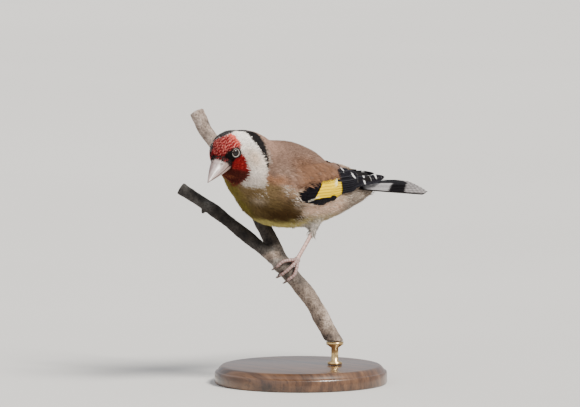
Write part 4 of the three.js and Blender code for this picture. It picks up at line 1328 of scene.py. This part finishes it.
def build_legs():
    material = skin_material()
    claw_stuff, nodes, links, shader = material_of("claw_horn", 0.35, Specular_IOR_Level=0.5)
    fine = noise_node(nodes, links, 1200, 3)
    links.new(
        ramp_node(nodes, links, fine, [(0.3, (0.05, 0.03, 0.025)), (0.7, (0.13, 0.08, 0.065))]),
        shader.inputs["Base Color"],
    )
    stem = smooth_curve([BODY_CENTRE + p for p in TWIGS["stem"]])
    rear = smooth_curve([BODY_CENTRE + p for p in TWIGS["rear"]])
    grips = {
        "left": (grip_of(stem, 0.06, BODY_CENTRE + (5, 0, -28)), 3.9, 1),
        "right": (grip_of(rear, 0.371, BODY_CENTRE + (-14, 6, -14)), 3.6, -1),
    }
    for side, ((middle, along, out, round_), twig, turn) in grips.items():
        reach = twig + GAP + TOE_RADIUS + 0.1

        def grip_point(angle, distance, shift):
            angle = math.radians(angle)
            return middle + along * shift + (out * math.cos(angle) + round_ * math.sin(angle)) * distance

        toes, claws = [], []
        for shift, sweep in TOES:
            toe_curve = smooth_curve(
                [
                    grip_point(sweep * turn * t, reach + 1.4 * (1 - t) ** 3, shift * min(1, t * 1.8))
                    for t in (0, 0.2, 0.4, 0.6, 0.8, 1)
                ]
            )
            claw_curve = smooth_curve(
                [
                    grip_point(sweep * turn * t, reach + (0, 0.5, 0.5, 0)[k], shift)
                    for k, t in enumerate((0.94, 1.06, 1.2, 1.32))
                ]
            )

            def toe_centre(t, curve=toe_curve):
                return along_curve(curve, t)[0]

            def toe_front(t, curve=toe_curve):
                here = along_curve(curve, t)[0] - middle
                return here - along * (here @ along)

            def toe_radius(t):
                joint = 0.1 * sum(math.exp(-(((t - at) / 0.05) ** 2)) for at in (0.34, 0.62, 0.86))
                end = math.sqrt(max(0.0, 1 - ((t - 0.9) / 0.1) ** 2)) if t > 0.9 else 1
                return TOE_RADIUS * (0.98 - 0.22 * t + joint) * max(end, 0.05)

            def claw_centre(t, curve=claw_curve):
                return along_curve(curve, t)[0]

            def claw_radius(t):
                return 0.52 * (1 - t) ** 0.8 + 0.05

            toes.append(limb("toe", toe_centre, toe_front, toe_radius, 11, depth=0.7))
            claws.append(limb("claw", claw_centre, toe_front, claw_radius, 1, 12, 24))
        hub = grip_point(0, reach + 1.2, 0)
        bm = bmesh.new()
        at_hub = Matrix.Translation(Vector(hub * MM))
        bmesh.ops.create_icosphere(bm, subdivisions=4, radius=PALM_RADIUS * MM, matrix=at_hub)
        palm = mesh_from_bmesh("palm", bm)
        tint(palm, np.tile(TOE_TONE, (len(palm.vertices), 1)))
        foot = join_meshes(f"foot_{side}_skin", [palm, *toes])
        new_piece(f"foot_{side}_skin", foot, material, (f"foot_{side}",))
        new_piece(f"claws_{side}", join_meshes(f"claws_{side}", claws), claw_stuff)
        ankle = BODY_CENTRE + ANKLES[side]

        def shank(t, ankle=ankle, hub=hub):
            return ankle + (hub - ankle) * t

        def shank_radius(t):
            return TARSUS_RADIUS * (1 + 0.35 * (2 * t - 1) ** 6)

        title = f"tarsus_{side}_skin"
        # the shank gets the painted highlight along its front
        mesh = limb(
            title, shank, lambda t: SHANK_FRONT, shank_radius, 8, base=LEG_TONE, depth=0.35, front_highlight=1.0
        )
        new_piece(title, mesh, material, (f"tarsus_{side}",))


# Twig and stand
def bark_material():
    material, nodes, links, shader = material_of("twig_bark", 0.85, Specular_IOR_Level=0.25)
    broad = noise_node(nodes, links, 220, 5)
    fine = noise_node(nodes, links, 1400, 5)
    base = ramp_node(
        nodes,
        links,
        broad,
        [(0.3, (0.055, 0.047, 0.042)), (0.5, (0.15, 0.125, 0.105)), (0.72, (0.3, 0.265, 0.235))],
    )
    specks = ramp_node(nodes, links, fine, [(0.32, (0.35, 0.33, 0.31)), (0.55, (1, 1, 1))])
    rough = mix_node(nodes, links, "MULTIPLY", 0.85, base, specks)
    mixed = mix_node(nodes, links, "MULTIPLY", 1.0, rough, tone_node(nodes))
    links.new(mixed, shader.inputs["Base Color"])
    both = nodes.new("ShaderNodeMath")
    both.operation = "ADD"
    links.new(broad, both.inputs[0])
    links.new(fine, both.inputs[1])
    bump_node(nodes, links, both.outputs[0], shader, 0.8, 0.0005)
    return material


def limb_distance(points, name):
    """How far points, from the body's centre, lie from a limb's middle line"""
    curve = smooth_curve(TWIGS[name], 60)
    return np.min([np.linalg.norm(points - middle, axis=1) for middle in curve], axis=0)


# limb, place along it and size of each bud
BUDS = (("rear", 0.62, 1.1), ("stem", 0.8, 1.2), ("near", 0.75, 0.9), ("rear", 0.9, 0.8))


def build_twig():
    """The cut twig with its bark, buds and the pale healed patch at the fork"""
    bm = bmesh.new()
    bm.from_mesh(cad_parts["perch_twig"].data)
    bmesh.ops.remove_doubles(bm, verts=bm.verts[:], dist=1e-6)
    for limb_name, at, size in BUDS:
        curve = smooth_curve([BODY_CENTRE + p for p in TWIGS[limb_name]])
        middle, way = along_curve(curve, at)
        out = unit(np.cross(way, (0.2, 0.9, -0.4)))
        bud = Matrix.Translation(Vector((middle + out * 3.3) * MM)) @ Matrix.Diagonal((1, 1, 1.5, 1))
        bmesh.ops.create_icosphere(bm, subdivisions=3, radius=size * MM, matrix=bud)
    rough = bpy.data.objects.new("twig_rough", mesh_from_bmesh("twig_rough", bm))
    bpy.context.scene.collection.objects.link(rough)
    remesh = rough.modifiers.new("one", "REMESH")
    remesh.mode = "VOXEL"
    remesh.voxel_size = 0.00045
    smooth = rough.modifiers.new("soft", "SMOOTH")
    smooth.iterations = 12
    smooth.factor = 0.6
    graph = bpy.context.evaluated_depsgraph_get()
    mesh = bpy.data.meshes.new_from_object(rough.evaluated_get(graph))
    bpy.data.objects.remove(rough)
    mesh.name = "twig_bark"
    places = places_of(mesh)
    normals = np.array([v.normal for v in mesh.vertices])
    relief = np.array([noise.fractal(Vector(p * 420), 1.0, 2.1, 4) for p in places])
    ridges = np.array([noise.noise(Vector((p[0] * 900, p[1] * 900, p[2] * 200))) for p in places])
    places = places + normals * ((relief * 0.14 + ridges * 0.1) * MM)[:, None]
    mesh.vertices.foreach_set("co", places.astype(np.float32).ravel())
    mesh.update()
    points = places / MM - BODY_CENTRE
    tone = np.tile((0.95, 0.93, 0.92), (len(points), 1))
    limb_of = np.stack([limb_distance(points, name) for name in ("near", "rear")], 1)
    near = ramp(limb_of[:, 1] - limb_of[:, 0], -1, 1) * ramp(points[:, 2], -34, -26)
    rear = ramp(limb_of[:, 0] - limb_of[:, 1], -1, 1) * ramp(points[:, 2], -34, -26)
    tone = paint(tone, (0.34, 0.36, 0.38), near)
    # painted shade: the middle stretch of the near limb darker
    dark = near * ramp(-points[:, 2], 6, 14) * ramp(points[:, 2], -30, -24)
    tone = paint(tone, (0.17, 0.165, 0.16), dark)
    # painted shade: the rear limb darker low down, below the bird
    tone = paint(tone, (0.36, 0.34, 0.33), rear * ramp(-points[:, 2], 2, 14))
    tone = paint(tone, (1.9, 1.75, 1.7), rear * ramp(points[:, 2], 0, 10))
    callus = np.linalg.norm((points - (-4.2, -8.6, -31.2)) / (5.2, 4.6, 2.4), axis=1)
    tone = paint(tone, (1.5, 1.35, 1.26), ramp(-callus, -1.1, -0.7))
    tone = paint(tone, (1.7, 1.55, 1.45), ramp(-points[:, 2], 40, 48))
    tint(mesh, tone)
    return new_piece("twig_bark", mesh, bark_material(), ("perch_twig",))


def turned(name, outline, steps):
    """A solid of revolution from (radius, height) pairs"""
    bm = bmesh.new()
    vertices = [bm.verts.new((r * MM, 0, h * MM)) for r, h in outline]
    edges = [bm.edges.new(pair) for pair in zip(vertices, vertices[1:])]
    bmesh.ops.spin(bm, geom=vertices + edges, cent=(0, 0, 0), axis=(0, 0, 1), angle=math.tau, steps=steps)
    bmesh.ops.remove_doubles(bm, verts=bm.verts[:], dist=1e-6)
    bmesh.ops.recalc_face_normals(bm, faces=bm.faces[:])
    return mesh_from_bmesh(name, bm)


def build_stand():
    material, nodes, links, shader = material_of(
        "varnished_wood", 0.35, Specular_IOR_Level=0.5, Coat_Weight=0.5, Coat_Roughness=0.15
    )
    grain = noise_node(nodes, links, 60, 6, stretch=(0.35, 6, 2))
    pores = noise_node(nodes, links, 500, 3, stretch=(0.2, 5, 1))
    stops = [(0.3, (0.035, 0.016, 0.008)), (0.5, (0.085, 0.038, 0.017)), (0.7, (0.15, 0.072, 0.032))]
    base = ramp_node(nodes, links, grain, stops)
    dark = ramp_node(nodes, links, pores, [(0.35, (0.5, 0.45, 0.42)), (0.5, (1, 1, 1))])
    links.new(mix_node(nodes, links, "MULTIPLY", 0.8, base, dark), shader.inputs["Base Color"])
    bump_node(nodes, links, pores, shader, 0.15, 0.0001)
    r, h = BASE_RADIUS, BASE_HEIGHT
    outline = [(0, 0), (r - 0.8, 0), (r - 0.2, 0.2), (r, 0.8), (r, h - 3.2), (r - 0.3, h - 2.6)]
    outline += [(r - 1, h - 2.3), (r - 1.5, h - 1.6), (r - 2.3, h - 0.7), (r - 3, h - 0.15), (r - 3.8, h), (0, h)]
    mesh = turned("base_turned", outline, 128)
    piece = new_piece("base_turned", mesh, material, ("stand_base",))
    bevel = piece.modifiers.new("soft", "BEVEL")
    bevel.width = 0.0002
    bevel.segments = 2
    bevel.limit_method = "ANGLE"

    brass, nodes, links, shader = material_of("polished_brass", 0.28, Metallic=1.0)
    tarnish = noise_node(nodes, links, 400, 4)
    links.new(
        ramp_node(nodes, links, tarnish, [(0.3, (0.5, 0.33, 0.14)), (0.7, (0.74, 0.54, 0.26))]),
        shader.inputs["Base Color"],
    )
    low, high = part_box("stand_rod")
    x, y = ((low + high) / 2 / MM)[:2]
    top = high.z / MM
    bottom = BASE_HEIGHT + GAP
    w = ROD_RADIUS
    outline = [(0, bottom), (w * 2, bottom), (w * 2, bottom + 1), (w, bottom + 1.6), (w, top - 2.7)]
    outline += [(w * 2.4, top - 1.1), (w * 2.4, top), (0, top)]
    mesh = turned("rod_turned", outline, 64)
    mesh.transform(Matrix.Translation((x * MM, y * MM, 0)))
    new_piece("rod_turned", mesh, brass, ("stand_rod",))


# Stage
# name, strength, colour, where it comes from in the camera's frame, and spread in degrees
LAMPS = (
    ("key", 6.2, (1, 0.97, 0.91), (0.49, 0.7, 0.54), 20),
    ("fill", 0.7, (0.95, 0.97, 1), (-0.7, 0.6, 0.7), 70),
)
SKY_COLOUR, SKY_STRENGTH = (0.93, 0.95, 1.0, 1), 0.68


def build_stage(distance):
    bm = bmesh.new()
    bmesh.ops.create_circle(bm, cap_ends=True, segments=96, radius=20)
    floor = bpy.data.objects.new("floor", mesh_from_bmesh("floor", bm))
    bpy.context.scene.collection.objects.link(floor)
    material, nodes, links, shader = material_of("pale_floor", 0.9, Specular_IOR_Level=0.1)
    faint = noise_node(nodes, links, 3, 2)
    links.new(
        ramp_node(nodes, links, faint, [(0.3, (0.6, 0.585, 0.56)), (0.7, (0.63, 0.615, 0.59))]),
        shader.inputs["Base Color"],
    )
    floor.data.materials.append(material)

    azimuth, elevation = math.radians(VIEW_AZIMUTH), math.radians(VIEW_ELEVATION)
    right = Vector((math.cos(azimuth), math.sin(azimuth), 0))
    flat = math.cos(elevation)
    back = Vector((math.sin(azimuth) * flat, -math.cos(azimuth) * flat, math.sin(elevation)))
    up = back.cross(right)
    target = Vector(BODY_CENTRE) + right * FRAME_OFFSET[0] + up * FRAME_OFFSET[1]
    camera = bpy.data.objects.new("camera", bpy.data.cameras.new("camera"))
    camera.data.sensor_width = 36
    camera.data.lens = 36 * distance / (FRAME_WIDTH * MM)
    camera.data.clip_end = 100
    turn = Matrix((right, up, back)).transposed().to_4x4()
    camera.matrix_world = Matrix.Translation(target * MM + back * distance) @ turn
    bpy.context.scene.collection.objects.link(camera)
    bpy.context.scene.camera = camera

    def lamp(name, energy, colour, way, spread):
        data = bpy.data.lights.new(name, "SUN")
        data.energy = energy
        data.color = colour
        data.angle = math.radians(spread)
        thing = bpy.data.objects.new(name, data)
        direction = (right * way[0] + up * way[1] + back * way[2]).normalized()
        turned_to = direction.to_track_quat("Z", "Y").to_matrix().to_4x4()
        thing.matrix_world = Matrix.Translation(direction * 2) @ turned_to
        bpy.context.scene.collection.objects.link(thing)

    for lamp_facts in LAMPS:
        lamp(*lamp_facts)
    world = bpy.context.scene.world or bpy.data.worlds.new("studio")
    bpy.context.scene.world = world
    world.use_nodes = True
    background = world.node_tree.nodes["Background"]
    background.inputs["Color"].default_value = SKY_COLOUR
    background.inputs["Strength"].default_value = SKY_STRENGTH


# Add-on
class GoldfinchSettings(bpy.types.PropertyGroup):
    """The sizes a user may want to change"""

    coat_density: bpy.props.FloatProperty(
        name="Coat density",
        description="How closely the contour feathers stand",
        default=1.0,
        min=0.05,
        max=1.5,
    )
    coat_depth: bpy.props.FloatProperty(
        name="Coat depth",
        description="How far the skin lies inside the plumage",
        default=0.0009,
        min=0.0003,
        max=0.002,
        unit="LENGTH",
        subtype="DISTANCE",
    )
    camera_distance: bpy.props.FloatProperty(
        name="Camera distance",
        description="From the bird to the camera",
        default=6.0,
        min=1.0,
        max=12.0,
        unit="LENGTH",
        subtype="DISTANCE",
    )


class GOLDFINCH_OT_skin(bpy.types.Operator):
    """Build the skin under the plumage"""

    bl_idname = "goldfinch.skin"
    bl_label = "Build skin"

    def execute(self, context):
        build_skin(context.scene.goldfinch.coat_depth / MM)
        return {"FINISHED"}


class GOLDFINCH_OT_head_parts(bpy.types.Operator):
    """Build the bill, the eyes and their lids"""

    bl_idname = "goldfinch.head_parts"
    bl_label = "Build bill and eyes"

    def execute(self, context):
        build_bill()
        build_eyes()
        return {"FINISHED"}


class GOLDFINCH_OT_wings(bpy.types.Operator):
    """Build both folded wings and the tail, feather by feather"""

    bl_idname = "goldfinch.wings"
    bl_label = "Build wings and tail"

    def execute(self, context):
        build_wing(1)
        build_wing(-1)
        build_tail()
        return {"FINISHED"}


class GOLDFINCH_OT_coat(bpy.types.Operator):
    """Build the contour feathers over the skin"""

    bl_idname = "goldfinch.coat"
    bl_label = "Build plumage"

    def execute(self, context):
        settings = context.scene.goldfinch
        density = settings.coat_density * 1
        build_coat(density, settings.coat_depth / MM)
        return {"FINISHED"}


class GOLDFINCH_OT_legs(bpy.types.Operator):
    """Build the scaly legs, toes and claws"""

    bl_idname = "goldfinch.legs"
    bl_label = "Build legs"

    def execute(self, context):
        build_legs()
        return {"FINISHED"}


class GOLDFINCH_OT_perch(bpy.types.Operator):
    """Build the cut twig and its display stand"""

    bl_idname = "goldfinch.perch"
    bl_label = "Build twig and stand"

    def execute(self, context):
        build_twig()
        build_stand()
        return {"FINISHED"}


class GOLDFINCH_OT_stage(bpy.types.Operator):
    """Build the floor, the lights and the camera"""

    bl_idname = "goldfinch.stage"
    bl_label = "Build stage"

    def execute(self, context):
        build_stage(context.scene.goldfinch.camera_distance)
        return {"FINISHED"}


class GOLDFINCH_PT_panel(bpy.types.Panel):
    """Sizes and build steps of the goldfinch"""

    bl_label = "Goldfinch"
    bl_space_type = "VIEW_3D"
    bl_region_type = "UI"
    bl_category = "Goldfinch"

    def draw(self, context):
        settings = context.scene.goldfinch
        for title in ("coat_density", "coat_depth", "camera_distance"):
            self.layout.prop(settings, title)
        for operator in OPERATORS:
            self.layout.operator(operator.bl_idname)


OPERATORS = (
    GOLDFINCH_OT_skin,
    GOLDFINCH_OT_head_parts,
    GOLDFINCH_OT_wings,
    GOLDFINCH_OT_coat,
    GOLDFINCH_OT_legs,
    GOLDFINCH_OT_perch,
    GOLDFINCH_OT_stage,
)


def register():
    for item in (GoldfinchSettings, *OPERATORS, GOLDFINCH_PT_panel):
        bpy.utils.register_class(item)
    bpy.types.Scene.goldfinch = bpy.props.PointerProperty(type=GoldfinchSettings)


def unregister():
    del bpy.types.Scene.goldfinch
    for item in reversed((GoldfinchSettings, *OPERATORS, GOLDFINCH_PT_panel)):
        bpy.utils.unregister_class(item)


def corners(box):
    return [[float(value) for value in corner] for corner in box]


def main():
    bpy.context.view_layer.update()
    register()
    bpy.ops.goldfinch.skin()
    bpy.ops.goldfinch.head_parts()
    bpy.ops.goldfinch.wings()
    bpy.ops.goldfinch.coat()
    bpy.ops.goldfinch.legs()
    bpy.ops.goldfinch.perch()
    bpy.ops.goldfinch.stage()


if __name__ == "__main__":
    main()
